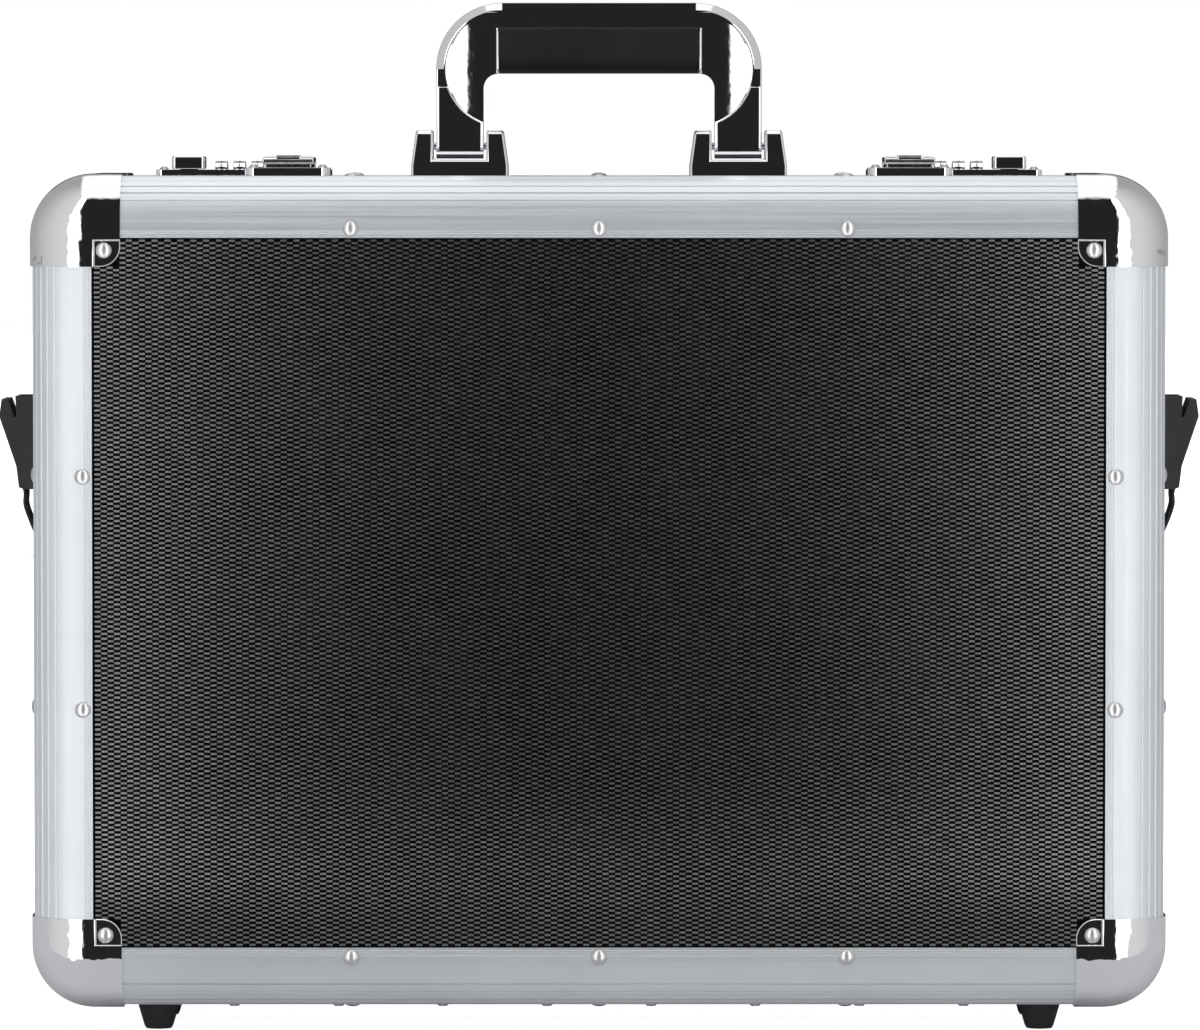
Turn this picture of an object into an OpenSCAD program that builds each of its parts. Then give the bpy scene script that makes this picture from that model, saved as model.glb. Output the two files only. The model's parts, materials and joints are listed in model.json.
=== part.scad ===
// Laptop hard case: two boards-and-aluminium half shells on a piano hinge, closed by two
// combination locks, with a swinging handle, corner caps, feet and strap buckles.
// Frame: X is the width, Y the depth (the lid faces -Y), Z is up, and the feet stand on z = 0.

/* [Case] */
// Width over the corner caps
case_w = 460; // [420:1:520]
// Height over the corner caps, feet left out
case_h = 338; // [300:1:380]
// Depth of the lid, from its face to the parting plane
lid_d = 45; // [42:1:60]
// Depth of the base, from the parting plane to its face
base_d = 65; // [60:1:90]
// Place of the parting plane in the depth
parting_y = -10; // [-20:1:0]
// Height of a rubber foot under the corner caps
foot_h = 9.5; // [6:0.5:12]

/* [Edge profile] */
// Width of the flange that frames the panel
edge_w = 24.8; // [23.5:0.1:28]
// Depth of the side flange, from the face
edge_d = 26; // [25:0.1:26.5]
// Radius of the grooved edge
edge_r = 20; // [18:0.5:20.5]
// Wall thickness of the extrusions
skin_t = 1.6; // [1.2:0.1:2]
// Side of the square cutter that leaves a decorative groove
groove_w = 1.0; // [0.6:0.1:1.2]
// Angles of the grooves round the edge, from the face's normal
groove_at = [30, 41, 52.5, 64, 76];
// Places of the fine grooves beside the panel, from the flange's inner edge
fine_at = [0.9, 1.9, 2.9];

/* [Boards and rims] */
// Thickness of the panel board and of the wall board
board_t = 3.5; // [3:0.1:4]
// Depth of the rim extrusion at the opening
rim_w = 12; // [10:0.5:14]
// Reach of the base's tongue into the lid's groove
tongue_h = 3; // [2:0.5:3.5]

/* [Corner caps] */
// Thickness of the pressed cap
cap_t = 1.0; // [0.8:0.1:1.2]
// Run of the cap along each edge, past the panel's corner
cap_run = 11.6; // [10:0.1:14]
// Play between the cap and the edge extrusions that it covers
cap_fit = 0.15; // [0.1:0.05:0.3]

/* [Rivets] */
// Radius of a rivet's domed head
rivet_r = 3.2; // [2.5:0.1:3.6]
// Height of the dome
rivet_h = 1.2; // [0.8:0.1:1.6]
// Places of the rivets along the width, from the middle
rivet_x = [-100, 0, 100];
// Places of the rivets along the height, from the middle
rivet_z = [-47, 47];

/* [Hinge and stays] */
// Radius of the hinge knuckles
knuckle_r = 2.6; // [2.3:0.1:2.8]
// Radius of the hinge pin
hinge_pin_r = 1.1; // [0.9:0.1:1.3]
// Length of one knuckle
knuckle_w = 20; // [15:1:25]
// Number of knuckles, odd
knuckles = 17; // [13:2:17]
// Angle to which the lid opens
lid_open = 90; // [80:1:90]
// Distance of both stay pivots from the hinge axis
stay_r = 34; // [33:0.5:34.5]

/* [Handle] */
// Half the width over the handle's arms
handle_hw = 66.7; // [60:0.1:75]
// Height of the handle over its pivot
handle_h = 58.6; // [54:0.1:66]
// Width of each arm
arm_w = 19.3; // [17:0.1:20]
// Depth of the chromed arch
arm_d = 10.2; // [9:0.1:10.4]
// Length of the grip
grip_w = 83; // [78:0.5:84]
// Height of the grip
grip_h = 18.9; // [16:0.1:20]
// Depth of the grip
grip_d = 16; // [14:0.5:18]
// Height of the pivot over the case's top
pivot_h = 11; // [10.8:0.1:13]

/* [Locks] */
// Distance of the hasp's middle from the case's middle
hasp_x = 126.3; // [120:0.1:135]
// Width of the hasp
hasp_w = 20.7; // [18:0.1:20.9]
// Radius of a number dial
dial_r = 7; // [6.5:0.1:7]
// Thickness of a number dial
dial_w = 5; // [4:0.1:5.4]
// Pitch of the dials along their shaft
dial_pitch = 7.4; // [7:0.1:7.4]
// Travel of the slider that frees the hasp
slider_travel = 4; // [3:0.5:4]

/* [Strap buckles] */
// Width of the webbing tab
webbing_w = 20; // [16:1:22]
// Height of the riveted end of the tab over the floor
tab_z = 190; // [170:1:220]

/* [Hidden] */
$fn = 96;

// Case
panel_hw = case_w / 2 - cap_t - edge_w;
panel_hh = case_h / 2 - cap_t - edge_w;
mid_z = foot_h + case_h / 2;
top_z = foot_h + case_h;
face_y = parting_y - lid_d;
back_y = parting_y + base_d;
side_x = panel_hw + edge_w;

// Section of the edge profile, as distances outward from the panel's edge and inward from the face
arc_u = edge_w - edge_r;
wall_out = edge_w - skin_t;
wall_in = wall_out - board_t;
panel_tuck = 8;
panel_rebate = 0.6;
panel_back = skin_t + board_t;
web_t = 1.3;
lip_t = 1.2;
lip_in = wall_in - 0.1 - lip_t;
rim_in = wall_in - skin_t;
rim_slot = rim_w / 2;
tongue_u = [wall_in + 0.7, wall_in + 2.7];
tongue_gap = 0.3;

// Rivets and screws
shank_r = 1.6;
tail_r = 2.4;
tail_h = 0.8;
face_rivet_u = 3.8;
side_rivet_v = edge_d - 3.8;
cap_rivet = 5;
screw_r = 2.05;

// Hinge, below the rims' outer face
hinge_z = foot_h + 1.5;
leaf_t = cap_t;
leaf_w = 11;
leaf_gap = 0.15;
hinge_w = knuckles * knuckle_w;
relief_r = 3.1;
hinge_rivets = 8;

// Stays: both pivots lie on a circle round the hinge, so the arm turns by half the lid's angle
stay_y = 10;
stay_z = sqrt(stay_r * stay_r - stay_y * stay_y);
stay_x = side_x - 10;
stay_t = 1.5;
stay_half = 4;
stay_near = 2 * stay_y;
stay_far = 2 * stay_r * sin(asin(stay_y / stay_r) + lid_open / 2);
stud_r = 1.7;
stud_head_r = 3.4;

// Feet
foot_r = [8.7, 5.2];
foot_x = panel_hw - cap_run - foot_r[0] - 4.7;
foot_v = 28.5;

// Handle
arm_x = handle_hw - arm_w / 2;
arch_r = 27;
inner_x = handle_hw - arm_w;
pivot_y = parting_y + 26;
pivot_z = top_z + pivot_h;
grip_top = handle_h - 10;
grip_bottom = grip_top - grip_h;
neck_r = 6;
pivot_pin_r = 1.5;
arch_c = [handle_hw - arch_r, handle_h - arch_r];
rib_r = [23, 23.8];
recess_d = 0.9;
fall_r = 100;
fall_x = 41.4;
ridge_z = [55.2, 56.5, 57.8];
ridge_hw = 45.8;
// Core of the arch inside the grip
core_d = 8;
core_h = 12;
ear_half = [19.9, 17.9];
window_hw = 10.9;
ear_top = 17.6;
bracket_half_d = [11, 8.6];
bracket_top_r = 3;
bracket_floor = 5.4;

// Locks, measured outward along X from the case's middle, heights from the case's top
plate_x = [109.5, 180.5];
plate_top = 1.4;
dial_y = parting_y + rim_w + dial_r + 1;
dial_rise = 4.9;
dial_z = top_z + dial_rise - dial_r;
dial_x = [for (i = [0:2]) 154.6 - i * dial_pitch];
slider_x = 167.9;
slider_w = 13.7;
slider_y = [parting_y + 13, parting_y + 26];
slider_top = 6.9;
housing_x = [135.5, 178];
housing_y = [dial_y - dial_r - 0.9, dial_y + dial_r + 1.3];
housing_z = dial_rise - 2 * dial_r - 2.9;
plate_y = [parting_y + 0.5, housing_y[1] + 0.7];
hasp_pivot_y = parting_y + 19;
hasp_pivot_z = 4.2;
hasp_tip_y = parting_y - 9;
keeper_y = [parting_y - 17, parting_y - 0.5];
keeper_hw = 17.3;
keeper_top = 2.3;
keeper_screw = 14;

// Buckles, left one drawn in (distance outward from the side, height over the buckle's bar)
buckle_z = top_z - 127;
buckle_x = side_x + 4.6;
buckle_w = 27;
buckle_y = parting_y + 26;
bar_r = 1.6;
loop_r = [1.95, 3.4];
webbing_t = 1.4;

// ---------------------------------------------------------------- places

// A half shell is drawn with its outer face at y = 0, its opening at y = depth and its middle
// at the origin. These put it in the case.
module in_lid() {
    translate([0, face_y, mid_z]) children();
}

module in_base() {
    translate([0, back_y, mid_z]) mirror([0, 1, 0]) children();
}

// Mirrors to the left where side is -1
module to_side(side) {
    mirror([side < 0 ? 1 : 0, 0, 0]) children();
}

module to_level(level) {
    mirror([0, 0, level < 0 ? 1 : 0]) children();
}

// A section drawn in (outward, inward) runs along the top edge
module along_top(length) {
    translate([0, 0, panel_hh]) rotate([0, -90, 0])
        linear_extrude(length, center = true) children();
}

// A section drawn in (outward, inward) runs up the right edge
module along_right(length) {
    translate([panel_hw, 0, 0]) linear_extrude(length, center = true) children();
}

// Axis along Y, from y = 0 inward
module bore_y(r, h) {
    rotate([-90, 0, 0]) cylinder(r = r, h = h);
}

// Axis along X, centred
module rod_x(r, w) {
    rotate([0, 90, 0]) cylinder(r = r, h = w, center = true);
}

// ---------------------------------------------------------------- outlines

module round_box(w, h, r) {
    square([w - 2 * r, h], center = true);
    square([w, h - 2 * r], center = true);
    for (x = [-1, 1], y = [-1, 1])
        translate([x * (w / 2 - r), y * (h / 2 - r)]) circle(r = r);
}

// The case's outline at a distance u outside the panel's edge, standing in XZ, y from v to v + d
module slab(u, v, d) {
    translate([0, v, 0]) rotate([90, 0, 0]) mirror([0, 0, 1])
        linear_extrude(d) round_box(2 * (panel_hw + u), 2 * (panel_hh + u), u);
}

module band(u0, u1, v, d) {
    difference() {
        slab(u1, v, d);
        slab(u0, v - 1, d + 2);
    }
}

// Outside of the edge section grown by d: flat face, round edge and flat side down to reach. It
// runs on past both ends by over.
module edge_outline(d, reach, over) {
    round_r = edge_r + d;
    translate([-over, -d]) square([arc_u + over, reach + d + over]);
    translate([arc_u, edge_r]) square([round_r, reach - edge_r + over]);
    translate([arc_u, edge_r]) intersection() {
        circle(r = round_r);
        translate([0, -round_r]) square(round_r);
    }
}

module edge_section() {
    difference() {
        union() {
            difference() {
                edge_outline(0, edge_d, 0);
                edge_outline(-skin_t, edge_d, 1);
            }
            intersection() {
                edge_outline(-0.2, edge_d, 0);
                union() {
                    translate([2, panel_back]) square([wall_in + 0.8, web_t]);
                    translate([lip_in, panel_back]) square([lip_t, edge_d - panel_back - 0.5]);
                }
            }
        }
        for (a = groove_at)
            translate([arc_u + edge_r * sin(a), edge_r - edge_r * cos(a)])
                rotate(a + 45) square(groove_w, center = true);
        for (u = fine_at)
            translate([u, 0]) rotate(45) square(groove_w / 2, center = true);
    }
}

// ---------------------------------------------------------------- rivets

// Head outside at y < 0, shank from y = 0 to grip, and the closed tail behind it
module rivet(grip) {
    dome_r = (rivet_r * rivet_r + rivet_h * rivet_h) / (2 * rivet_h);
    intersection() {
        translate([0, dome_r - rivet_h, 0]) sphere(r = dome_r);
        translate([-rivet_r, -rivet_h, -rivet_r]) cube([2 * rivet_r, rivet_h, 2 * rivet_r]);
    }
    bore_y(shank_r, grip);
    translate([0, grip, 0]) bore_y(tail_r, tail_h);
}

// Puts a child at each rivet through the face and at each rivet through the sides of a half
module at_face_rivets() {
    for (x = rivet_x, s = [-1, 1])
        translate([x, 0, s * (panel_hh + face_rivet_u)]) children();
    for (z = rivet_z, s = [-1, 1])
        translate([s * (panel_hw + face_rivet_u), 0, z]) children();
}

module at_side_rivets() {
    for (x = rivet_x, s = [-1, 1])
        to_level(s) translate([x, side_rivet_v, panel_hh + edge_w]) rotate([-90, 0, 0]) children();
    for (z = rivet_z, s = [-1, 1])
        to_side(s) translate([side_x, side_rivet_v, z]) rotate([0, 0, 90]) children();
}

module at_cap_rivets() {
    for (s = [-1, 1], t = [-1, 1])
        translate([s * (panel_hw - cap_rivet), skin_t - cap_t, t * (panel_hh - cap_rivet)])
            children();
}

// The hinge leaf's rivets, seen from below: heads on the leaf's outside
module at_hinge_rivets() {
    pitch = hinge_w / hinge_rivets;
    for (i = [0:hinge_rivets - 1])
        translate([(i + 0.5 - hinge_rivets / 2) * pitch, 0, 0]) children();
}

module rivet_holes() {
    at_face_rivets() translate([0, -1, 0]) bore_y(shank_r, 12);
    at_side_rivets() translate([0, -1, 0]) bore_y(shank_r, 12);
    at_cap_rivets() translate([0, -1, 0]) bore_y(shank_r, 12);
}

module half_rivets() {
    at_face_rivets() rivet(panel_back + web_t);
    at_side_rivets() rivet(edge_w - lip_in);
    at_cap_rivets() rivet(panel_back - skin_t + cap_t);
}

module hinge_rivet() {
    translate([0, 0, -0.6]) cylinder(r = 2.2, h = 0.6);
    cylinder(r = 1.2, h = leaf_t + 4);
}

// ---------------------------------------------------------------- half shells

module panel() {
    difference() {
        translate([-panel_hw - panel_tuck, skin_t, -panel_hh - panel_tuck])
            cube([2 * (panel_hw + panel_tuck), board_t, 2 * (panel_hh + panel_tuck)]);
        // rebate that slides under the round of the edge extrusions
        band(arc_u - 0.3, panel_tuck + 6, skin_t - 1, 1 + panel_rebate);
        rivet_holes();
    }
}

module wall(depth) {
    difference() {
        band(wall_in, wall_out, edge_r, depth - edge_r - rim_slot);
        rivet_holes();
    }
}

module rim(depth) {
    difference() {
        band(rim_in, edge_w, depth - rim_w, rim_w);
        band(wall_in, wall_out, depth - rim_w - 1, rim_slot + 1);
    }
}

// Room for the hinge's knuckles, in the case's frame
module knuckle_room() {
    translate([0, parting_y, hinge_z]) rod_x(relief_r, 2 * panel_hw + 12);
}

// Room for the stays' pins
module stay_pin_room(y) {
    for (s = [-1, 1])
        translate([s * (stay_x + 6), y, hinge_z + stay_z]) rod_x(stud_r, 12);
}

module hinge_rivet_room(y) {
    at_hinge_rivets() translate([0, y, foot_h]) cylinder(r = 1.2, h = 6);
}

module edge_top() {
    difference() {
        along_top(2 * panel_hw) edge_section();
        rivet_holes();
    }
}

module edge_bottom() {
    to_level(-1) edge_top();
}

module edge_sides() {
    for (s = [-1, 1])
        to_side(s) difference() {
            along_right(2 * panel_hh) edge_section();
            rivet_holes();
        }
}

module cap_section(reach) {
    difference() {
        edge_outline(cap_t, reach, 0);
        edge_outline(cap_fit, reach, 1);
    }
}

// Cap for the top right corner of a half: the section turns round the panel's corner and runs on
// along both edges. Its bead stands beside the panel, its tab lies on it.
module corner(reach) {
    bead = 1.2;
    difference() {
        translate([panel_hw, 0, panel_hh]) union() {
            rotate([90, 0, 0]) mirror([0, 0, 1]) rotate_extrude(angle = 90) cap_section(reach);
            translate([0, 0, -cap_run]) linear_extrude(cap_run) cap_section(reach);
            rotate([0, -90, 0]) linear_extrude(cap_run) cap_section(reach);
            translate([-cap_run, -cap_t, -bead]) cube([cap_run, cap_t + skin_t, bead]);
            translate([-bead, -cap_t, -cap_run]) cube([bead, cap_t + skin_t, cap_run]);
            translate([-cap_run, skin_t - cap_t, -cap_run]) tab_plate();
        }
        rivet_holes();
    }
}

// The tab on the panel, with its free corner rounded
module tab_plate() {
    free_r = 8;
    rotate([90, 0, 0]) mirror([0, 0, 1]) linear_extrude(cap_t) union() {
        translate([free_r, 0]) square([cap_run - free_r, cap_run]);
        translate([0, free_r]) square([free_r, cap_run - free_r]);
        translate([free_r, free_r]) intersection() {
            circle(r = free_r);
            translate([-free_r, -free_r]) square(free_r);
        }
    }
}

// ---------------------------------------------------------------- foam

module lid_foam_block() {
    inset = 9;
    thick = 18;
    translate([-panel_hw + inset, panel_back, -panel_hh + inset])
        cube([2 * (panel_hw - inset), thick, 2 * (panel_hh - inset)]);
}

module base_foam_tray() {
    inset = 9;
    floor_t = 10;
    bolster = 18;
    outer = 8;
    rise = 40;
    translate([-panel_hw + inset, panel_back, -panel_hh + inset])
        cube([2 * (panel_hw - inset), floor_t, 2 * (panel_hh - inset)]);
    difference() {
        slab(outer, panel_back + web_t + 1.2, rise);
        translate([0, panel_back + floor_t, 0]) rotate([90, 0, 0]) mirror([0, 0, 1])
            linear_extrude(rise) round_box(2 * (panel_hw - bolster), 2 * (panel_hh - bolster), 12);
    }
}

// ---------------------------------------------------------------- hinge

// Leaf whose knuckles have an even or an odd place in the row
module leaf(first, bore, side) {
    difference() {
        union() {
            for (i = [first:2:knuckles - 1])
                translate([i * knuckle_w - hinge_w / 2 + leaf_gap, 0, 0])
                    leaf_finger(side);
            translate([-hinge_w / 2, side > 0 ? knuckle_r + 0.5 : -leaf_w - 2,
                       foot_h - hinge_z])
                cube([hinge_w, leaf_w + 2 - knuckle_r - 0.5, leaf_t]);
            for (i = [first:2:knuckles - 1])
                translate([(i + 0.5) * knuckle_w - hinge_w / 2, 0, 0])
                    rod_x(knuckle_r, knuckle_w - 2 * leaf_gap);
        }
        rod_x(bore, hinge_w + 2);
        translate([0, 0, -hinge_z])
            at_hinge_rivets() translate([0, side * 8, foot_h - 1]) cylinder(r = 1.2, h = 6);
    }
}

module leaf_finger(side) {
    translate([0, side > 0 ? 1.6 : -knuckle_r - 1, foot_h - hinge_z])
        cube([knuckle_w - 2 * leaf_gap, knuckle_r - 0.6, leaf_t]);
}

// ---------------------------------------------------------------- feet

module foot(depth) {
    strip_in = depth - rim_w;
    to_level(-1) translate([foot_x, foot_v, panel_hh + edge_w]) difference() {
        union() {
            cylinder(r1 = foot_r[0], r2 = foot_r[1] + 0.7, h = foot_h + cap_t - 1.2);
            translate([0, 0, foot_h + cap_t - 1.21]) cylinder(r1 = foot_r[1] + 0.7,
                                                             r2 = foot_r[1], h = 1.21);
            intersection() {
                translate([0, 0, -skin_t]) cylinder(r = foot_r[0], h = skin_t + 0.1);
                translate([-10, edge_d - foot_v + 0.1, -skin_t])
                    cube([20, strip_in - edge_d - 0.2, skin_t + 0.1]);
            }
        }
        translate([0, 0, foot_h - 3]) cylinder(r = 3.4, h = 6);
        translate([0, 0, -4]) cylinder(r = shank_r, h = 20);
    }
}

module feet(depth) {
    for (s = [-1, 1]) to_side(s) foot(depth);
}

module foot_screws() {
    for (s = [-1, 1])
        to_side(s) to_level(-1) translate([foot_x, foot_v, panel_hh + edge_w]) difference() {
            union() {
                translate([0, 0, -skin_t - board_t]) cylinder(r = shank_r - 0.05,
                                                            h = foot_h - 3 + skin_t + board_t);
                translate([0, 0, foot_h - 3]) cylinder(r = 2.9, h = 1.8);
            }
            for (a = [0, 90])
                rotate(a) translate([-2, -0.35, foot_h - 1.9]) cube([4, 0.7, 2]);
        }
}

module foot_screw_room() {
    for (s = [-1, 1])
        to_side(s) to_level(-1) translate([foot_x, foot_v, panel_hh + wall_in - 1])
            cylinder(r = shank_r, h = board_t + 2);
}

// ---------------------------------------------------------------- handle

// Side view: steep faces in front and behind, and a top with round shoulders
module bracket_side() {
    shoulder = ear_top - bracket_top_r;
    flat = bracket_half_d[1] - bracket_top_r;
    polygon([[-bracket_half_d[0], 0], [bracket_half_d[0], 0], [bracket_half_d[1], shoulder],
             [flat, shoulder], [flat, ear_top], [-flat, ear_top], [-flat, shoulder],
             [-bracket_half_d[1], shoulder]]);
    for (s = [-1, 1]) translate([s * flat, shoulder]) intersection() {
        circle(r = bracket_top_r);
        translate([s > 0 ? 0 : -bracket_top_r, 0]) square(bracket_top_r);
    }
}

module bracket_front() {
    polygon([[-ear_half[0], 0], [ear_half[0], 0], [ear_half[0], 3], [ear_half[1], ear_top],
             [-ear_half[1], ear_top], [-ear_half[0], 3]]);
}

// A bracket stands on the wall board, sunk between the rim and the edge profile
module bracket(side) {
    sunk = cap_t + skin_t;
    translate([side * arm_x, pivot_y, top_z]) difference() {
        union() {
            intersection() {
                rotate([90, 0, 90]) linear_extrude(60, center = true) bracket_side();
                rotate([90, 0, 0]) linear_extrude(60, center = true) bracket_front();
            }
            translate([-ear_half[0], -bracket_half_d[0], -sunk])
                cube([2 * ear_half[0], 2 * bracket_half_d[0], sunk + 0.01]);
        }
        translate([-window_hw, -20, bracket_floor]) cube([2 * window_hw, 40, 30]);
        translate([0, 0, pivot_h]) rod_x(pivot_pin_r, 60);
    }
}

// Outline of the arch in (x, height over the pivot)
module arch_outline() {
    difference() {
        union() {
            translate([-handle_hw, 0]) square([2 * handle_hw, handle_h - arch_r]);
            translate([-handle_hw + arch_r, handle_h - arch_r - 0.01])
                square([2 * (handle_hw - arch_r), arch_r + 0.01]);
            for (s = [-1, 1])
                translate([s * (handle_hw - arch_r), handle_h - arch_r]) circle(r = arch_r);
        }
        translate([-inner_x, -1]) square([2 * inner_x, grip_bottom - neck_r + 1]);
        translate([-inner_x + neck_r, -1]) square([2 * (inner_x - neck_r), grip_bottom + 1]);
        for (s = [-1, 1])
            translate([s * (inner_x - neck_r), grip_bottom - neck_r]) circle(r = neck_r);
        translate([-grip_w / 2, -1]) square([grip_w, grip_top + 1]);
    }
}

// Relief of the arch's front, drawn on its right arm: a recessed flat at the foot of the arm, a rib
// round the bend, a face inside the rib that falls off outward, and a chamfer outside it
module arm_relief() {
    face = arm_d / 2;
    margin = 1.2;
    // recessed flat, its bottom over the barrel
    rotate([90, 0, 0]) translate([0, 0, face - recess_d]) linear_extrude(2) difference() {
        translate([inner_x + margin, -2]) square([arm_w - 2 * margin, 26]);
        translate(arch_c) circle(r = rib_r[1]);
    }
    // falling face
    difference() {
        intersection() {
            translate([arch_c[0], 0, arch_c[1]]) bore_y(rib_r[0], 20);
            translate([fall_x, 0, 0]) cube([arm_w + 10, 20, handle_h]);
        }
        translate([fall_x, face - fall_r, -5]) cylinder(r = fall_r, h = handle_h + 10);
    }
}

module outer_chamfer() {
    face = arm_d / 2;
    difference() {
        translate([arch_c[0], face - 2.4, arch_c[1]]) bore_y(arch_r + 2, 3);
        translate([arch_c[0], face - 2.41, arch_c[1]]) rotate([-90, 0, 0])
            cylinder(r1 = arch_r - 0.1, r2 = rib_r[1] + 0.2, h = 2.43);
        translate([0, 0, -20]) cube([arch_c[0], 20, 100]);
        translate([0, 0, -20]) cube([100, 20, arch_c[1] + 20]);
    }
}

module top_ridges() {
    for (z = ridge_z)
        translate([0, arm_d / 2, z]) rotate([45, 0, 0])
            cube([2 * ridge_hw, 0.6, 0.6], center = true);
}

module arch() {
    translate([0, pivot_y, pivot_z]) difference() {
        union() {
            rotate([90, 0, 0]) linear_extrude(arm_d, center = true) arch_outline();
            for (s = [-1, 1]) translate([s * arm_x, 0, 0]) rod_x(arm_d / 2, arm_w);
            // core that carries the grip
            translate([-grip_w / 2 - 1, -core_d / 2, grip_top - core_h])
                cube([grip_w + 2, core_d, core_h + 0.01]);
        }
        rod_x(pivot_pin_r + 0.05, 200);
        for (s = [-1, 1], f = [-1, 1])
            to_side(s) mirror([0, f < 0 ? 1 : 0, 0]) {
                arm_relief();
                outer_chamfer();
            }
        for (f = [-1, 1]) mirror([0, f < 0 ? 1 : 0, 0]) top_ridges();
    }
}

module grip() {
    translate([0, pivot_y, pivot_z + grip_bottom]) difference() {
        rotate([90, 0, 90]) linear_extrude(grip_w, center = true) union() {
            translate([0, grip_d / 2]) circle(r = grip_d / 2);
            translate([-grip_d / 2, grip_d / 2]) square([grip_d, grip_h - grip_d / 2 - 2]);
            translate([-grip_d / 2 + 2, grip_h - 4]) square([grip_d - 4, 4]);
            for (s = [-1, 1]) translate([s * (grip_d / 2 - 2), grip_h - 2]) circle(r = 2);
        }
        translate([-grip_w, -core_d / 2, grip_h - core_h]) cube([2 * grip_w, core_d, core_h + 1]);
    }
}

module pivot_pins() {
    for (s = [-1, 1])
        translate([s * arm_x, pivot_y, pivot_z]) rod_x(pivot_pin_r, 2 * ear_half[1] - 1);
}

// ---------------------------------------------------------------- locks, drawn on the right

module lock_room() {
    translate([housing_x[0] - 0.1, housing_y[0] - 0.1, top_z - 20])
        cube([housing_x[1] - housing_x[0] + 0.2, housing_y[1] - housing_y[0] + 0.2, 30]);
}

module lock_body() {
    plate_w = plate_x[1] - plate_x[0];
    plate_d = plate_y[1] - plate_y[0];
    case_wall = 0.6;
    difference() {
        union() {
            translate([(plate_x[0] + plate_x[1]) / 2, (plate_y[0] + plate_y[1]) / 2,
                       top_z - cap_t])
                linear_extrude(cap_t + plate_top) round_box(plate_w, plate_d, 2.5);
            translate([housing_x[0], housing_y[0], top_z + housing_z])
                cube([housing_x[1] - housing_x[0], housing_y[1] - housing_y[0],
                      -housing_z - cap_t + 0.01]);
            for (s = [-1, 1])
                translate([hasp_x + s * (hasp_w / 2 - 4.6), hasp_pivot_y, top_z]) hasp_lug();
        }
        // dial well, with a slot for each dial in the plate
        translate([housing_x[0] + case_wall, housing_y[0] + case_wall, top_z + housing_z + 1])
            cube([dial_x[0] + dial_w / 2 + 1 - housing_x[0] - case_wall,
                  housing_y[1] - housing_y[0] - 2 * case_wall, -housing_z - 1 - cap_t]);
        for (x = dial_x)
            translate([x - dial_w / 2 - 0.25, housing_y[0] + case_wall, top_z - cap_t - 0.01])
                cube([dial_w + 0.5, housing_y[1] - housing_y[0] - 2 * case_wall, 4]);
        // slider well and its slot
        translate([slider_x - 5.5, slider_y[0], top_z + housing_z + 1])
            cube([11 + slider_travel, slider_y[1] - slider_y[0], -housing_z - 1 - cap_t]);
        translate([slider_x - 3.2, slider_y[0] + 3.3, top_z - cap_t - 0.01])
            cube([6.4 + slider_travel, slider_y[1] - slider_y[0] - 6.6, 4]);
        translate([dial_x[1], dial_y, dial_z]) rod_x(1.5, 2 * (dial_x[0] - dial_x[1]) + 8);
        translate([hasp_x, hasp_pivot_y, top_z + hasp_pivot_z]) rod_x(1.2, 40);
        lock_screw_places() translate([0, 0, -6]) cylinder(r = 1.2, h = 10);
    }
}

// Each lug is a cheek with a round top that holds the hasp's pin
module hasp_lug() {
    rod_w = 2;
    translate([0, 0, hasp_pivot_z]) rod_x(2.4, rod_w);
    translate([-rod_w / 2, -2.4, plate_top - 0.01]) cube([rod_w, 4.8, hasp_pivot_z - plate_top]);
}

module lock_screw_places() {
    for (x = [plate_x[0] + 3, plate_x[1] - 3.2])
        translate([x, parting_y + 5, top_z + plate_top]) children();
}

module lock_screw_room() {
    for (s = [-1, 1])
        to_side(s) lock_screw_places() translate([0, 0, -7]) cylinder(r = 1.2, h = 12);
}

module slot_screw(length) {
    head_h = 1.4;
    ball = (screw_r * screw_r + head_h * head_h) / (2 * head_h);
    difference() {
        union() {
            intersection() {
                translate([0, 0, head_h - ball]) sphere(r = ball);
                translate([-screw_r, -screw_r, 0]) cube([2 * screw_r, 2 * screw_r, head_h]);
            }
            translate([0, 0, -length]) cylinder(r = 1.2, h = length + 0.01);
        }
        for (a = [45, 135])
            rotate(a) translate([-1.3, -0.25, head_h - 0.7]) cube([2.6, 0.5, 1]);
    }
}

module slider() {
    stem_w = 6;
    lift = 0.2;
    run_y = slider_y[1] - slider_y[0];
    translate([slider_x, (slider_y[0] + slider_y[1]) / 2, top_z]) {
        difference() {
            translate([0, 0, plate_top + lift]) linear_extrude(slider_top - plate_top - lift)
                round_box(slider_w, run_y, 1.5);
            // dimple for the thumb
            translate([0, 0, slider_top + 13.2]) sphere(r = 14);
        }
        translate([-stem_w / 2, -run_y / 2 + 3.4, housing_z + 4])
            cube([stem_w, run_y - 6.8, -housing_z - 4 + plate_top + lift + 0.1]);
        translate([-stem_w / 2 - 1.5, -run_y / 2 + 1, housing_z + 3.5])
            cube([stem_w + 3, run_y - 2, 4]);
    }
}

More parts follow.
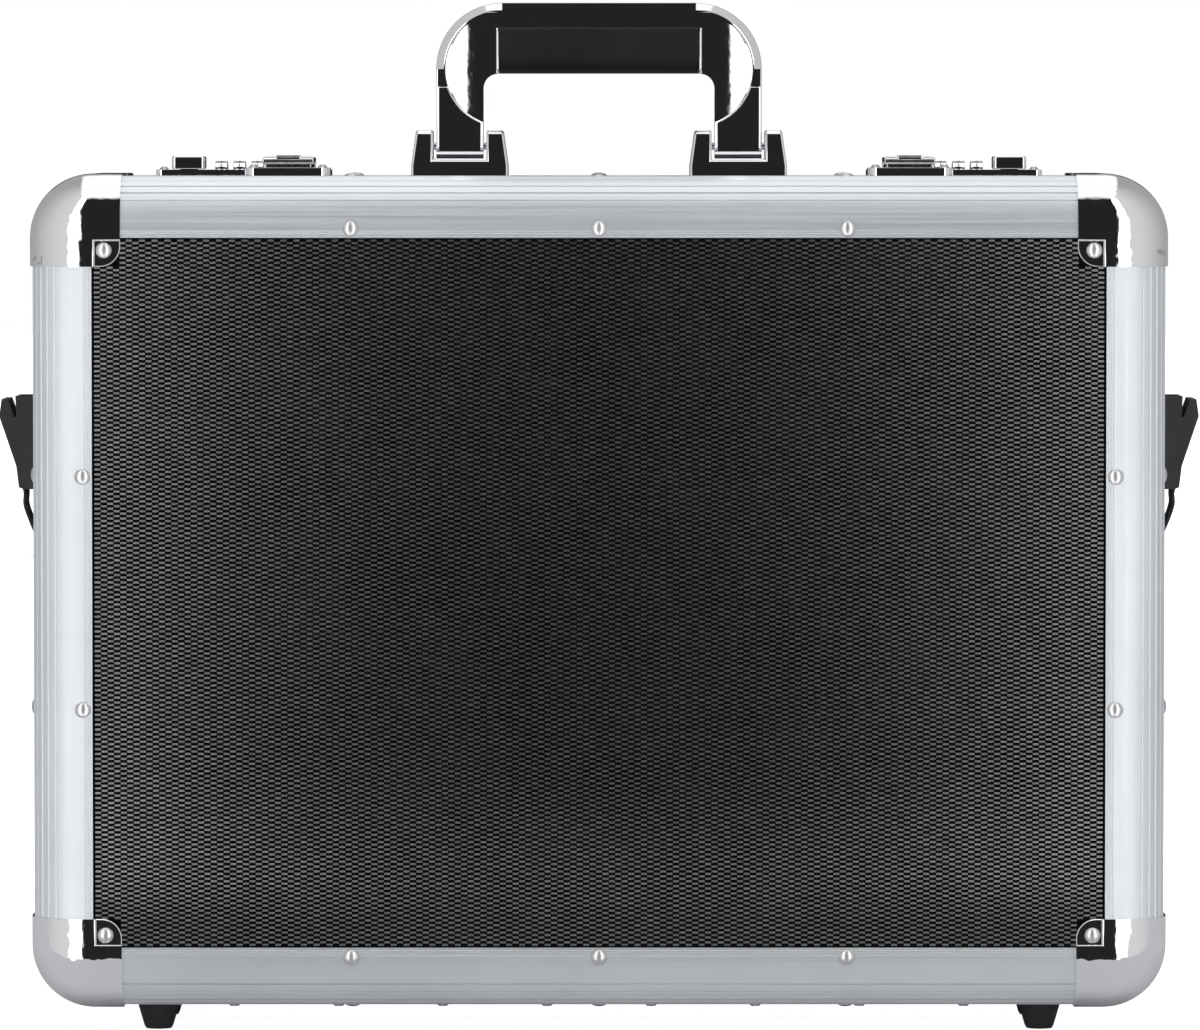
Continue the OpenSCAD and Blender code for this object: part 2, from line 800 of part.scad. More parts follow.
// The hasp: barrel round its pin, arm, and the block that hooks down into the keeper
module hasp() {
    arm_z = [hasp_pivot_z - 0.2, hasp_pivot_z + 2.2];
    translate([hasp_x, 0, top_z]) difference() {
        union() {
            translate([0, hasp_pivot_y, hasp_pivot_z]) rod_x(2.4, hasp_w - 11.6);
            for (s = [-1, 1])
                translate([s * (hasp_w / 2 - 1.7), hasp_pivot_y, hasp_pivot_z]) rod_x(2.4, 3.4);
            translate([-hasp_w / 2, hasp_tip_y + 1, arm_z[0]])
                cube([hasp_w, hasp_pivot_y - hasp_tip_y - 4, arm_z[1] - arm_z[0]]);
            translate([-hasp_w / 2 + 5.8, hasp_pivot_y - 4, arm_z[0]])
                cube([hasp_w - 11.6, 4, arm_z[1] - arm_z[0]]);
            for (s = [-1, 1])
                translate([s * (hasp_w / 2 - 1.7) - 1.7, hasp_pivot_y - 4, arm_z[0]])
                    cube([3.4, 4, arm_z[1] - arm_z[0]]);
            translate([-hasp_w / 2, hasp_tip_y, arm_z[0] - 0.2])
                cube([hasp_w, 5, 7.5 - arm_z[0] - 1]);
            translate([-5, hasp_tip_y, arm_z[0]]) cube([10, 6, 7.5 - arm_z[0]]);
            translate([-hasp_w / 2 + 1, hasp_tip_y + 1, 0.4])
                cube([hasp_w - 2, 3.6, arm_z[0]]);
        }
        translate([0, hasp_pivot_y, hasp_pivot_z]) rod_x(1.25, 40);
    }
}

module keeper() {
    translate([hasp_x, (keeper_y[0] + keeper_y[1]) / 2, top_z - cap_t]) difference() {
        linear_extrude(cap_t + keeper_top)
            round_box(2 * keeper_hw, keeper_y[1] - keeper_y[0], 4);
        translate([-hasp_w / 2, hasp_tip_y - (keeper_y[0] + keeper_y[1]) / 2 - 0.6, 0.8])
            cube([hasp_w, 6.2, 10]);
        for (s = [-1, 1])
            translate([s * keeper_screw, 0, -1]) cylinder(r = 1.2, h = 10);
    }
}

module dial(i) {
    notches = 10;
    translate([dial_x[i], dial_y, dial_z]) difference() {
        rod_x(dial_r, dial_w);
        rod_x(1.55, dial_w + 2);
        for (k = [0:notches - 1])
            rotate([(k + 0.5) * 360 / notches, 0, 0]) translate([0, 0, dial_r])
                rotate([45, 0, 0]) cube([dial_w + 1, 1.1, 1.1], center = true);
    }
}

module dial_shaft() {
    translate([dial_x[1], dial_y, dial_z]) rod_x(1.5, 2 * (dial_x[0] - dial_x[1]) + 6.4);
}

// ---------------------------------------------------------------- stays

module stay_arm(side) {
    translate([side * stay_x, parting_y - stay_y, hinge_z + stay_z]) rotate([90, 0, 90])
        linear_extrude(stay_t, center = true) difference() {
            union() {
                translate([0, -stay_half]) square([stay_far, 2 * stay_half]);
                circle(r = stay_half);
                translate([stay_far, 0]) circle(r = stay_half);
            }
            circle(r = stud_r + 0.05);
            translate([stay_near, -stud_r - 0.1])
                square([stay_far - stay_near, 2 * stud_r + 0.2]);
            for (x = [stay_near, stay_far]) translate([x, 0]) circle(r = stud_r + 0.1);
        }
}

// Headed pins, driven into the rim and standing through the stay's arm
module stay_pins(y) {
    for (s = [-1, 1])
        to_side(s) translate([stay_x, y, hinge_z + stay_z]) rotate([0, 90, 0]) {
            translate([0, 0, -stay_t / 2 - 1.2]) cylinder(r = stud_head_r, h = 1);
            translate([0, 0, -stay_t / 2 - 0.3]) cylinder(r = stud_r, h = 8.3);
            translate([0, 0, stay_t / 2 + 0.2])
                cylinder(r = stud_head_r, h = panel_hw + rim_in - stay_x - stay_t / 2 - 0.2);
        }
}

// ---------------------------------------------------------------- strap tabs and buckles, right side

// Doubled webbing: a loop round the buckle's bar, drawn in to the board and riveted flat
module strap_tab() {
    foot_x0 = side_x - skin_t;
    translate([0, buckle_y, 0]) rotate([90, 0, 0]) linear_extrude(webbing_w, center = true)
        difference() {
            union() {
                translate([buckle_x, buckle_z]) circle(r = loop_r[1]);
                polygon([[buckle_x - loop_r[1], buckle_z], [buckle_x + loop_r[1], buckle_z],
                         [buckle_x + 2.4, buckle_z - 4], [buckle_x + 2.5, buckle_z - 10],
                         [foot_x0 + 6, buckle_z - 18], [foot_x0 + 2 * webbing_t, buckle_z - 23],
                         [foot_x0 + 2 * webbing_t, tab_z - 10], [foot_x0, tab_z - 10],
                         [foot_x0, buckle_z - 19], [buckle_x - 3.2, buckle_z - 9]]);
            }
            translate([buckle_x, buckle_z]) circle(r = loop_r[0]);
        }
}

module strap_rivet() {
    translate([side_x - skin_t + 2 * webbing_t, buckle_y, tab_z]) rotate([0, 0, 90])
        rivet(2 * webbing_t + board_t);
}

module strap_rivet_room() {
    for (s = [-1, 1])
        to_side(s) translate([side_x + 4, buckle_y, tab_z]) rotate([0, 0, 90])
            bore_y(shank_r, 20);
}

// Side view of the buckle's body, in (distance from its bar, height over its bar)
module buckle_side() {
    polygon([[5.1, 7.2], [4, -1.6], [2, -2.4], [-2.4, -2.4], [-3.4, 2.6], [-2.6, 35.8],
             [5.4, 35.8], [4.9, 27.2], [5.8, 27.2], [8.4, 34.6], [11, 34.6], [12, 27.6]]);
}

module buckle_mouth() {
    polygon([[-1.2, 7], [3.2, 7], [3.6, 26], [4.2, 37], [-1.4, 37]]);
}

module buckle() {
    translate([buckle_x, buckle_y, buckle_z]) difference() {
        union() {
            rotate([90, 0, 0]) linear_extrude(buckle_w, center = true) buckle_side();
            rotate([90, 0, 0]) cylinder(r = bar_r, h = buckle_w, center = true);
        }
        // the mouth that takes the strap's plug
        rotate([90, 0, 0]) linear_extrude(buckle_w - 4, center = true) buckle_mouth();
        // room for the webbing round the bar
        difference() {
            translate([-6, -webbing_w / 2 - 0.5, -4]) cube([12, webbing_w + 1, 8]);
            rotate([90, 0, 0]) cylinder(r = bar_r, h = buckle_w, center = true);
        }
    }
}

// ---------------------------------------------------------------- nodes

module lid_panel() {
    color("#1b1c1e") in_lid() panel();
}

module base_panel() {
    color("#1b1c1e") in_base() panel();
}

module lid_wall() {
    color("#26272a") difference() {
        in_lid() difference() {
            wall(lid_d);
            foot_screw_room();
        }
        hinge_rivet_room(parting_y - 8);
        stay_pin_room(parting_y - stay_y);
        keeper_screw_room();
    }
}

module base_wall() {
    color("#26272a") difference() {
        in_base() difference() {
            wall(base_d);
            foot_screw_room();
        }
        for (s = [-1, 1]) to_side(s) lock_room();
        strap_rivet_room();
        hinge_rivet_room(parting_y + 8);
        stay_pin_room(parting_y + stay_y);
        lock_screw_room();
    }
}

module lid_rim() {
    color("#b9bcc0") difference() {
        in_lid() difference() {
            rim(lid_d);
            band(tongue_u[0] - tongue_gap, tongue_u[1] + tongue_gap, lid_d - tongue_h - 0.5,
                 tongue_h + 1);
        }
        knuckle_room();
        stay_pin_room(parting_y - stay_y);
        hinge_rivet_room(parting_y - 8);
        keeper_screw_room();
    }
}

module keeper_screw_room() {
    for (s = [-1, 1], x = [-keeper_screw, keeper_screw])
        translate([s * (hasp_x + x), (keeper_y[0] + keeper_y[1]) / 2, top_z - 6])
            cylinder(r = 1.2, h = 8);
}

module base_rim() {
    color("#b9bcc0") difference() {
        union() {
            in_base() rim(base_d);
            // the tongue runs up both sides and along the top
            intersection() {
                in_base() band(tongue_u[0], tongue_u[1], base_d - 0.01, tongue_h);
                translate([-case_w, parting_y - 10, foot_h + 60]) cube([2 * case_w, 20, case_h]);
            }
        }
        knuckle_room();
        stay_pin_room(parting_y + stay_y);
        hinge_rivet_room(parting_y + 8);
        lock_screw_room();
    }
}

module lid_edge_top() {
    color("#c3c6ca") in_lid() edge_top();
}

module lid_edge_bottom() {
    color("#c3c6ca") in_lid() edge_bottom();
}

module lid_edge_sides() {
    color("#c3c6ca") in_lid() edge_sides();
}

module base_edge_top() {
    color("#c3c6ca") in_base() edge_top();
}

module base_edge_bottom() {
    color("#c3c6ca") in_base() edge_bottom();
}

module base_edge_sides() {
    color("#c3c6ca") in_base() edge_sides();
}

module lid_corner(side, level) {
    color("#d7dade") in_lid() to_side(side) to_level(level) corner(lid_d - rim_w);
}

module base_corner(side, level) {
    color("#d7dade") in_base() to_side(side) to_level(level) corner(base_d - rim_w);
}

module hinge_leaf_lid() {
    color("#a8abb0") translate([0, parting_y, hinge_z]) leaf(1, hinge_pin_r + 0.05, -1);
}

module hinge_leaf_base() {
    color("#a8abb0") translate([0, parting_y, hinge_z]) leaf(0, hinge_pin_r, 1);
}

module hinge_pin() {
    color("#8f9398") translate([0, parting_y, hinge_z]) rod_x(hinge_pin_r, hinge_w);
}

module front_feet() {
    color("#161617") in_lid() feet(lid_d);
}

module rear_feet() {
    color("#161617") in_base() feet(base_d);
}

module front_foot_screws() {
    color("#9a9da1") in_lid() foot_screws();
}

module rear_foot_screws() {
    color("#9a9da1") in_base() foot_screws();
}

module handle_bracket(side) {
    color("#202124") bracket(side);
}

module handle_arch() {
    color("#d7dade") arch();
}

module handle_grip() {
    color("#1a1a1b") grip();
}

module handle_pins() {
    color("#8f9398") pivot_pins();
}

module lock_body_at(side) {
    color("#c9ccd0") to_side(side) lock_body();
}

module lock_slider_at(side) {
    color("#1d1d1f") to_side(side) slider();
}

module lock_hasp_at(side) {
    color("#d7dade") to_side(side) hasp();
}

module hasp_pins() {
    color("#8f9398") for (s = [-1, 1])
        translate([s * hasp_x, hasp_pivot_y, top_z + hasp_pivot_z]) rod_x(1.2, hasp_w - 0.4);
}

module lock_keepers() {
    color("#c9ccd0") for (s = [-1, 1]) to_side(s) keeper();
}

module keeper_screws() {
    color("#b0b3b7") for (s = [-1, 1], x = [-keeper_screw, keeper_screw])
        translate([s * (hasp_x + x), (keeper_y[0] + keeper_y[1]) / 2, top_z + keeper_top])
            slot_screw(7);
}

module lock_screws() {
    color("#b0b3b7") for (s = [-1, 1]) to_side(s) lock_screw_places() slot_screw(5.5);
}

module dial_at(side, i) {
    color("#cfd1d4") to_side(side) dial(i);
}

module dial_shafts() {
    color("#8f9398") for (s = [-1, 1]) to_side(s) dial_shaft();
}

module stay_arm_at(side) {
    color("#b9bcc0") stay_arm(side);
}

module stay_pivots() {
    color("#8f9398") stay_pins(parting_y - stay_y);
}

module stay_studs() {
    color("#8f9398") stay_pins(parting_y + stay_y);
}

module strap_tabs() {
    color("#141415") for (s = [-1, 1]) to_side(s) difference() {
        strap_tab();
        translate([side_x + 4, buckle_y, tab_z]) rotate([0, 0, 90]) bore_y(shank_r, 20);
    }
}

module strap_buckle(side) {
    color("#121213") to_side(side) buckle();
}

module lid_rivets() {
    color("#dfe1e4") union() {
        in_lid() half_rivets();
        at_hinge_rivets() translate([0, parting_y - 8, foot_h]) hinge_rivet();
    }
}

module base_rivets() {
    color("#dfe1e4") union() {
        in_base() half_rivets();
        at_hinge_rivets() translate([0, parting_y + 8, foot_h]) hinge_rivet();
        for (s = [-1, 1]) to_side(s) strap_rivet();
    }
}

module base_foam() {
    color("#2b2c2f") in_base() base_foam_tray();
}

module lid_foam() {
    color("#2b2c2f") in_lid() lid_foam_block();
}

lid_panel();
base_panel();
lid_wall();
base_wall();
lid_rim();
base_rim();
lid_edge_top();
lid_edge_bottom();
lid_edge_sides();
base_edge_top();
base_edge_bottom();
base_edge_sides();
lid_corner(-1, 1);  // lid_corner_top_left
lid_corner(1, 1);  // lid_corner_top_right
lid_corner(-1, -1);  // lid_corner_bottom_left
lid_corner(1, -1);  // lid_corner_bottom_right
base_corner(-1, 1);  // base_corner_top_left
base_corner(1, 1);  // base_corner_top_right
base_corner(-1, -1);  // base_corner_bottom_left
base_corner(1, -1);  // base_corner_bottom_right
hinge_leaf_lid();
hinge_leaf_base();
hinge_pin();
front_feet();
rear_feet();
front_foot_screws();
rear_foot_screws();
handle_bracket(-1);  // handle_bracket_left
handle_bracket(1);  // handle_bracket_right
handle_arch();
handle_grip();
handle_pins();
lock_body_at(-1);  // lock_body_left
lock_body_at(1);  // lock_body_right
lock_slider_at(-1);  // lock_slider_left
lock_slider_at(1);  // lock_slider_right
lock_hasp_at(-1);  // lock_hasp_left
lock_hasp_at(1);  // lock_hasp_right
hasp_pins();
lock_keepers();
keeper_screws();
lock_screws();
dial_at(-1, 0);  // dial_left_1
dial_at(-1, 1);  // dial_left_2
dial_at(-1, 2);  // dial_left_3
dial_at(1, 0);  // dial_right_1
dial_at(1, 1);  // dial_right_2
dial_at(1, 2);  // dial_right_3
dial_shafts();
stay_arm_at(-1);  // stay_arm_left
stay_arm_at(1);  // stay_arm_right
stay_pivots();
stay_studs();
strap_tabs();
strap_buckle(-1);  // strap_buckle_left
strap_buckle(1);  // strap_buckle_right
lid_rivets();
base_rivets();
base_foam();
lid_foam();
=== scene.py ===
# %% [markdown]
# # A laptop hard case
# The case is two shallow half shells on a piano hinge. Each half is a board framed by grooved aluminium
# extrusions, and pressed chrome caps cover the corners where the extrusions meet. The construction comes
# from the frame: every size below is read from it, so a piece here lies exactly where the model needs it.

# %% Load the frame
import json
import math

import bmesh
import bpy
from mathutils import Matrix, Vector


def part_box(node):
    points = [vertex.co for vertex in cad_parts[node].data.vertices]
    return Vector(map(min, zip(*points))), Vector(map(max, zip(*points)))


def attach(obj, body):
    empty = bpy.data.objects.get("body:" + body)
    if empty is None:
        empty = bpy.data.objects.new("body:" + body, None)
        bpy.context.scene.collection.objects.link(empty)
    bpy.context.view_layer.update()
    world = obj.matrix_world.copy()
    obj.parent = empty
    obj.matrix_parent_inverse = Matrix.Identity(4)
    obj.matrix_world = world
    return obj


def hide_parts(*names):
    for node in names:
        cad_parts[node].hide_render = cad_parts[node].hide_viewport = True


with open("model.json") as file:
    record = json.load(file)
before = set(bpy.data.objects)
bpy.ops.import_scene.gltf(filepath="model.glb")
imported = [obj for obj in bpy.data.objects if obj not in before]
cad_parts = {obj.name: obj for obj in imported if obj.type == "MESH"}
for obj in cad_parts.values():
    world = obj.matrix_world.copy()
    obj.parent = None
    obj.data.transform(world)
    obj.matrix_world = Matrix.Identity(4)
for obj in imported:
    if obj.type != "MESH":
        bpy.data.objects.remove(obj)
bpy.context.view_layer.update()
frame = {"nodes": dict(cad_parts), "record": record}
MM = 0.001
record = frame["record"]
BODY_OF = {node: body for body, nodes in record["behaviour"]["bodies"].items() for node in nodes}
scene = bpy.context.scene

# %% [markdown]
# ## The sizes that everything hangs on
# The panel's half width and half height, the extrusion's width and depth and the two outer faces are read
# from the boxes of a few nodes. A half shell is described in its own terms: x along the width, v inward from
# its outer face and z over its middle. One function turns that into the case's coordinates, so the lid and
# the base share all the code.

# %% Sizes from the frame
top_low, top_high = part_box("lid_edge_top")
side_low, side_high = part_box("lid_edge_sides")
PANEL_HW = top_high.x
PANEL_HH = (side_high.z - side_low.z) / 2
MID_Z = (side_high.z + side_low.z) / 2
EDGE_W = side_high.x - PANEL_HW
EDGE_D = top_high.y - top_low.y
FACE_Y = top_low.y
BACK_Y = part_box("base_edge_top")[1].y
CAP_T = FACE_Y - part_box("lid_corner_top_left")[0].y
CAP_RUN = PANEL_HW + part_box("lid_corner_top_left")[1].x
SKIN_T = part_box("lid_panel")[0].y - FACE_Y
PARTING_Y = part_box("lid_rim")[1].y


def in_half(half, x, v, z):
    y = FACE_Y + v if half == "lid" else BACK_Y - v
    return Vector((x, y, MID_Z + z))


def inward(half, y):
    return y - FACE_Y if half == "lid" else BACK_Y - y


print("panel", round(PANEL_HW / MM, 1), round(PANEL_HH / MM, 1), "edge", round(EDGE_W / MM, 1))

# %% [markdown]
# ## Helpers for meshes
# Most rigid pieces are lofts: the same ring of points repeated along a path, joined by four-sided faces and
# closed at the ends. After a mesh is made its doubles are merged, its normals are turned outward, and edges
# sharper than an angle are marked, which keeps flats flat and rounds smooth. The alternative, modelling
# by hand, gives the same result but can't follow a changed size. Each piece then takes its finish and the
# body of the node that it stands for.


# %% Mesh helpers
MERGE = 1e-6


def loft(rings, closed=True, caps=True):
    count = len(rings[0])
    points = [p for ring in rings for p in ring]
    faces = []
    for i in range(len(rings) - 1):
        for k in range(count if closed else count - 1):
            a = i * count + k
            b = i * count + (k + 1) % count
            faces.append((a, b, b + count, a + count))
    if caps:
        faces.append(tuple(range(count)))
        faces.append(tuple(range(len(points) - count, len(points))))
    return points, faces


def joined(*parts):
    points, faces = [], []
    for more_points, more_faces in parts:
        start = len(points)
        points += more_points
        faces += [tuple(start + i for i in face) for face in more_faces]
    return points, faces


def in_scene(name, data):
    obj = bpy.data.objects.new(name, data)
    scene.collection.objects.link(obj)
    return obj


def mark_edges(bm, angle):
    """Everything is smooth but the edges that turn by more than the angle."""
    for face in bm.faces:
        face.smooth = True
    for edge in bm.edges:
        edge.smooth = len(edge.link_faces) == 2 and edge.calc_face_angle() < math.radians(angle)


def new_piece(name, points, faces, angle=35.0):
    mesh = bpy.data.meshes.new(name)
    mesh.from_pydata([tuple(p) for p in points], [], faces)
    bm = bmesh.new()
    bm.from_mesh(mesh)
    bmesh.ops.remove_doubles(bm, verts=bm.verts, dist=MERGE)
    bmesh.ops.dissolve_degenerate(bm, edges=bm.edges, dist=MERGE)
    bmesh.ops.recalc_face_normals(bm, faces=bm.faces)
    mark_edges(bm, angle)
    bm.to_mesh(mesh)
    bm.free()
    return in_scene(name, mesh)


def settle(obj):
    """Turns the piece with its modifiers into a plain mesh."""
    depsgraph = bpy.context.evaluated_depsgraph_get()
    mesh = bpy.data.meshes.new_from_object(obj.evaluated_get(depsgraph), depsgraph=depsgraph)
    obj.modifiers.clear()
    obj.data = mesh
    return obj


def soften(obj, width, segments, angle, limit, clamp):
    """Rounds the edges as a die or a cast does, and keeps the flats flat."""
    bevel = obj.modifiers.new("edges", "BEVEL")
    bevel.width = width
    bevel.segments = segments
    bevel.limit_method = limit
    bevel.use_clamp_overlap = clamp
    bevel.angle_limit = math.radians(angle)
    obj.modifiers.new("flats", "WEIGHTED_NORMAL").keep_sharp = True
    return settle(obj)


def dress(obj, node, material=None):
    """Gives the piece its finish and lets it stand for the node, on the node's body."""
    if material:
        obj.data.materials.clear()
        obj.data.materials.append(material)
    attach(obj, BODY_OF[node])
    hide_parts(node)
    return obj


# %% [markdown]
# ## Helpers for materials
# Every finish is built from nodes, so it stays sharp from close by. A small class keeps that readable: it
# adds a node, sets its inputs and links what is itself a socket.


# %% Material helpers
class Finish:
    def __init__(self, name):
        self.material = bpy.data.materials.new(name)
        self.material.use_nodes = True
        self.tree = self.material.node_tree
        self.shader = self.tree.nodes["Principled BSDF"]

    def add(self, kind, out=0, **values):
        node = self.tree.nodes.new(kind)
        inputs = {}
        for key, value in values.items():
            if hasattr(node, key):
                setattr(node, key, value)
            else:
                inputs[key] = value
        for key, value in inputs.items():
            name = int(key[1:]) if key[1:].isdigit() else key.replace("_", " ")
            self.put(node.inputs[name], value)
        return node.outputs[out]

    def put(self, socket, value):
        if isinstance(value, bpy.types.NodeSocket):
            self.tree.links.new(value, socket)
        else:
            socket.default_value = value

    def set(self, **values):
        for key, value in values.items():
            self.put(self.shader.inputs[key.replace("_", " ")], value)

    def coords(self, scale=(1, 1, 1), turn=(0, 0, 0)):
        where = self.add("ShaderNodeTexCoord", out="Object")
        return self.add("ShaderNodeMapping", Vector=where, Scale=scale, Rotation=turn)

    def noise(self, vector, scale, detail, rough):
        return self.add("ShaderNodeTexNoise", Vector=vector, Scale=scale, Detail=detail, Roughness=rough)

    def spread(self, value, low, high, start=0.0, end=1.0):
        return self.add("ShaderNodeMapRange", i0=value, i1=start, i2=end, i3=low, i4=high)

    def bump(self, height, strength, distance, under=None):
        values = {"Height": height, "Strength": strength, "Distance": distance}
        if under is not None:
            values["Normal"] = under
        return self.add("ShaderNodeBump", **values)

    def mix(self, amount, low, high):
        node = self.tree.nodes.new("ShaderNodeMix")
        node.data_type = "RGBA"
        self.put(node.inputs["Factor"], amount)
        self.put(node.inputs[6], low)
        self.put(node.inputs[7], high)
        return node.outputs[2]

    def tint(self, amount, low, high):
        return self.mix(amount, (*low, 1), (*high, 1))

    def axes(self, vector):
        node = self.tree.nodes.new("ShaderNodeSeparateXYZ")
        self.put(node.inputs[0], vector)
        return node.outputs

    def calc(self, operation, *values):
        node = self.tree.nodes.new("ShaderNodeMath")
        node.operation = operation
        for socket, value in zip(node.inputs, values):
            self.put(socket, value)
        return node.outputs[0]


# %% [markdown]
# ## Anodised aluminium
# The extrusions are satin silver. The die leaves fine lines along the length, so light spreads across
# the lines and hardly along them: a side post catches the strip lights beside the camera and a top rail
# doesn't. The finish has that spread as anisotropy, with its direction from a UV map that runs across the
# profile, and noise stretched along the extrusion gives the lines to the roughness and a shallow bump.


# %% Aluminium
ALUMINIUM_LOW, ALUMINIUM_HIGH = (0.735, 0.765, 0.800), (0.800, 0.830, 0.862)
ALUMINIUM_METAL = 0.68
DRAWN, DRAWN_SHINE = 0.75, (0.32, 0.44)


def aluminium(name, along, drawn):
    f = Finish(name)
    stretch = {"x": (6, 900, 900), "z": (900, 900, 6)}[along]
    lines = f.noise(f.coords(stretch), 1.0, 3.0, 0.6)
    cloud = f.noise(f.coords(), 9.0, 5.0, 0.6)
    grain = f.noise(f.coords(), 2600.0, 2.0, 0.5)
    colour = f.tint(f.spread(cloud, 0.0, 1.0, 0.35, 0.65), ALUMINIUM_LOW, ALUMINIUM_HIGH)
    f.set(Base_Color=colour, Metallic=ALUMINIUM_METAL, Roughness=f.spread(lines, *DRAWN_SHINE, 0.3, 0.7))
    f.set(Normal=f.bump(grain, 0.08, 0.02 * MM, f.bump(lines, 0.15, 0.02 * MM)))
    if drawn:
        across = f.add("ShaderNodeTangent", direction_type="UV_MAP", uv_map="across")
        f.set(Anisotropic=drawn, Tangent=across)
    return f.material


aluminium_x = aluminium("anodised_aluminium_along_x", "x", DRAWN)
aluminium_z = aluminium("anodised_aluminium_along_z", "z", DRAWN)
aluminium_rim = aluminium("anodised_aluminium_rim", "x", 0.0)
print("aluminium finishes", aluminium_x.name, aluminium_z.name, aluminium_rim.name)

# %% [markdown]
# ## Chrome and nickel
# Chrome plate on pressed sheet is never quite flat: slow waves in the sheet bend what it mirrors, which is
# why the white band on a corner cap wobbles. A large noise in the bump makes those waves, a finer one is the
# orange peel of the plating, and thin hairlines in the roughness are its wiping marks. The rivets' nickel is
# the same finish, darker and duller.


# %% Chrome
CHROME_COLOUR = (0.86, 0.87, 0.89)
CHROME_ROUGH = 0.035


def chrome(name, wave, wave_scale, colour=CHROME_COLOUR, rough=CHROME_ROUGH):
    f = Finish(name)
    place = f.coords()
    waves = f.noise(place, wave_scale, 2.0, 0.5)
    peel = f.noise(place, 900.0, 2.0, 0.5)
    wipe = f.noise(f.coords((1500, 60, 400), (0.3, 0.2, 0.5)), 1.0, 2.0, 0.6)
    f.set(Base_Color=(*colour, 1), Metallic=1.0, Roughness=f.spread(wipe, rough, rough + 0.07, 0.55, 0.8))
    f.set(Normal=f.bump(peel, 0.05, 0.01 * MM, f.bump(waves, 1.0, wave)))
    return f.material


cap_chrome = chrome("corner_cap_chrome", 0.22 * MM, 110.0)
cast_chrome = chrome("cast_handle_chrome", 0.04 * MM, 160.0)
lock_chrome = chrome("lock_chrome", 0.02 * MM, 200.0)
rivet_chrome = chrome("rivet_nickel", 0.01 * MM, 300.0, (0.66, 0.66, 0.67), 0.30)
print("chrome finishes", cap_chrome.name, cast_chrome.name, lock_chrome.name, rivet_chrome.name)

# %% [markdown]
# ## The stepped front of the lock catches
# The front of a real catch is pressed in shallow steps, one under the other, and each step mirrors its own
# thin band of the room. The catch in the frame has a flat front, so a sine along the height in the bump gives
# the steps without changing its shape. Its slope decides how far each band's mirror image swings.

# %% Stepped chrome
STEP_HEIGHT, STEP_SLOPE = 2.3 * MM, 0.55


def catch_finish():
    f = Finish("catch_chrome")
    place = f.coords()
    turn = 2 * math.pi / STEP_HEIGHT
    steps = f.calc("SINE", f.calc("MULTIPLY", f.axes(place)[2], turn))
    peel = f.noise(place, 900.0, 2.0, 0.5)
    waves = f.noise(place, 260.0, 2.0, 0.5)
    shine = f.spread(peel, 0.05, 0.12, 0.4, 0.7)
    f.set(Base_Color=(*CHROME_COLOUR, 1), Metallic=1.0, Roughness=shine)
    f.set(Normal=f.bump(waves, 1.0, 0.03 * MM, f.bump(steps, 1.0, STEP_SLOPE / turn)))
    return f.material


catch_chrome = catch_finish()
print("steps of", STEP_HEIGHT / MM, "mm")

# %% [markdown]
# ## Plain steel
# Hinge leaves, stays, pins and screws are nickel plated steel without a polish. Noise stretched along the
# rolling direction gives a brushed roughness and bump, and a coarser noise clouds the colour a little.


# %% Steel
def steel(name, colour, along):
    f = Finish(name)
    lines = f.noise(f.coords(along), 1.0, 3.0, 0.6)
    spots = f.noise(f.coords(), 160.0, 4.0, 0.6)
    f.set(Base_Color=f.tint(spots, tuple(c * 0.86 for c in colour), tuple(c * 1.08 for c in colour)))
    f.set(Metallic=1.0, Roughness=f.spread(lines, 0.20, 0.36, 0.3, 0.7))
    f.set(Normal=f.bump(lines, 0.25, 0.02 * MM))
    return f.material


plain_steel = steel("nickelled_steel", (0.56, 0.57, 0.59), (40, 900, 900))
pin_steel = steel("pin_steel", (0.50, 0.51, 0.53), (900, 900, 60))
print("steels", plain_steel.name, pin_steel.name)

# %% [markdown]
# ## Black plastics, rubber and board
# Four blacks tell the parts apart. The panel skin is embossed plastic whose small dashes carry a greyish
# pearl print, and whose ground between them is darker than the plastic, as painted shade in the gaps. The
# grip and feet are matt rubber with a fine grain, the buckles are satin moulded plastic and the wall boards
# are laminated with a pebbled foil.


# %% Blacks
def black(name, colour, rough, grain_scale, grain, specular=0.5):
    f = Finish(name)
    place = f.coords()
    fine = f.noise(place, grain_scale, 3.0, 0.6)
    cloud = f.noise(place, 25.0, 4.0, 0.6)
    lighter = tuple(c * 1.5 + 0.004 for c in colour)
    f.set(Base_Color=f.tint(f.spread(cloud, 0.0, 1.0, 0.3, 0.7), colour, lighter))
    f.set(Roughness=f.spread(fine, rough - 0.05, rough + 0.05, 0.3, 0.7))
    f.set(Normal=f.bump(fine, 0.6, grain), Specular_IOR_Level=specular)
    return f.material


grip_rubber = black("grip_rubber", (0.007, 0.007, 0.008), 0.58, 1800.0, 0.06 * MM, 0.15)
foot_rubber = black("foot_rubber", (0.012, 0.012, 0.013), 0.62, 1500.0, 0.05 * MM, 0.35)
buckle_plastic = black("buckle_plastic", (0.013, 0.013, 0.014), 0.42, 900.0, 0.03 * MM)
board_foil = black("board_foil", (0.018, 0.018, 0.020), 0.5, 700.0, 0.10 * MM)
# The panel's ground is black plastic darkened well past it and given almost no shine: painted shade for the
# gaps between the dashes.
panel_ground_black_painted_shade = black("panel_skin_ground_painted_shade", (0.0016, 0.0016, 0.0018), 0.8, 1200.0, 0.02 * MM, 0.02)
print("blacks", [m.name for m in (grip_rubber, foot_rubber, buckle_plastic, board_foil, panel_ground_black_painted_shade)])

# %% [markdown]
# ## The pearl print on the dashes
# The dashes mirror a little, so a real panel is lighter towards its sides and its foot, where it catches
# the strips and the table. The panel here is flat and the room is painted, so a very shallow bowl in the
# bump stands in for that: it tilts the shading of the whole skin outwards at the sides and at the foot.

# %% Dash print
DASH_DARK, DASH_LIGHT = (0.165, 0.167, 0.172), (0.225, 0.228, 0.233)
DISH, FOOT_DISH = 0.20, 1.0
FOOT_STARTS = 0.02


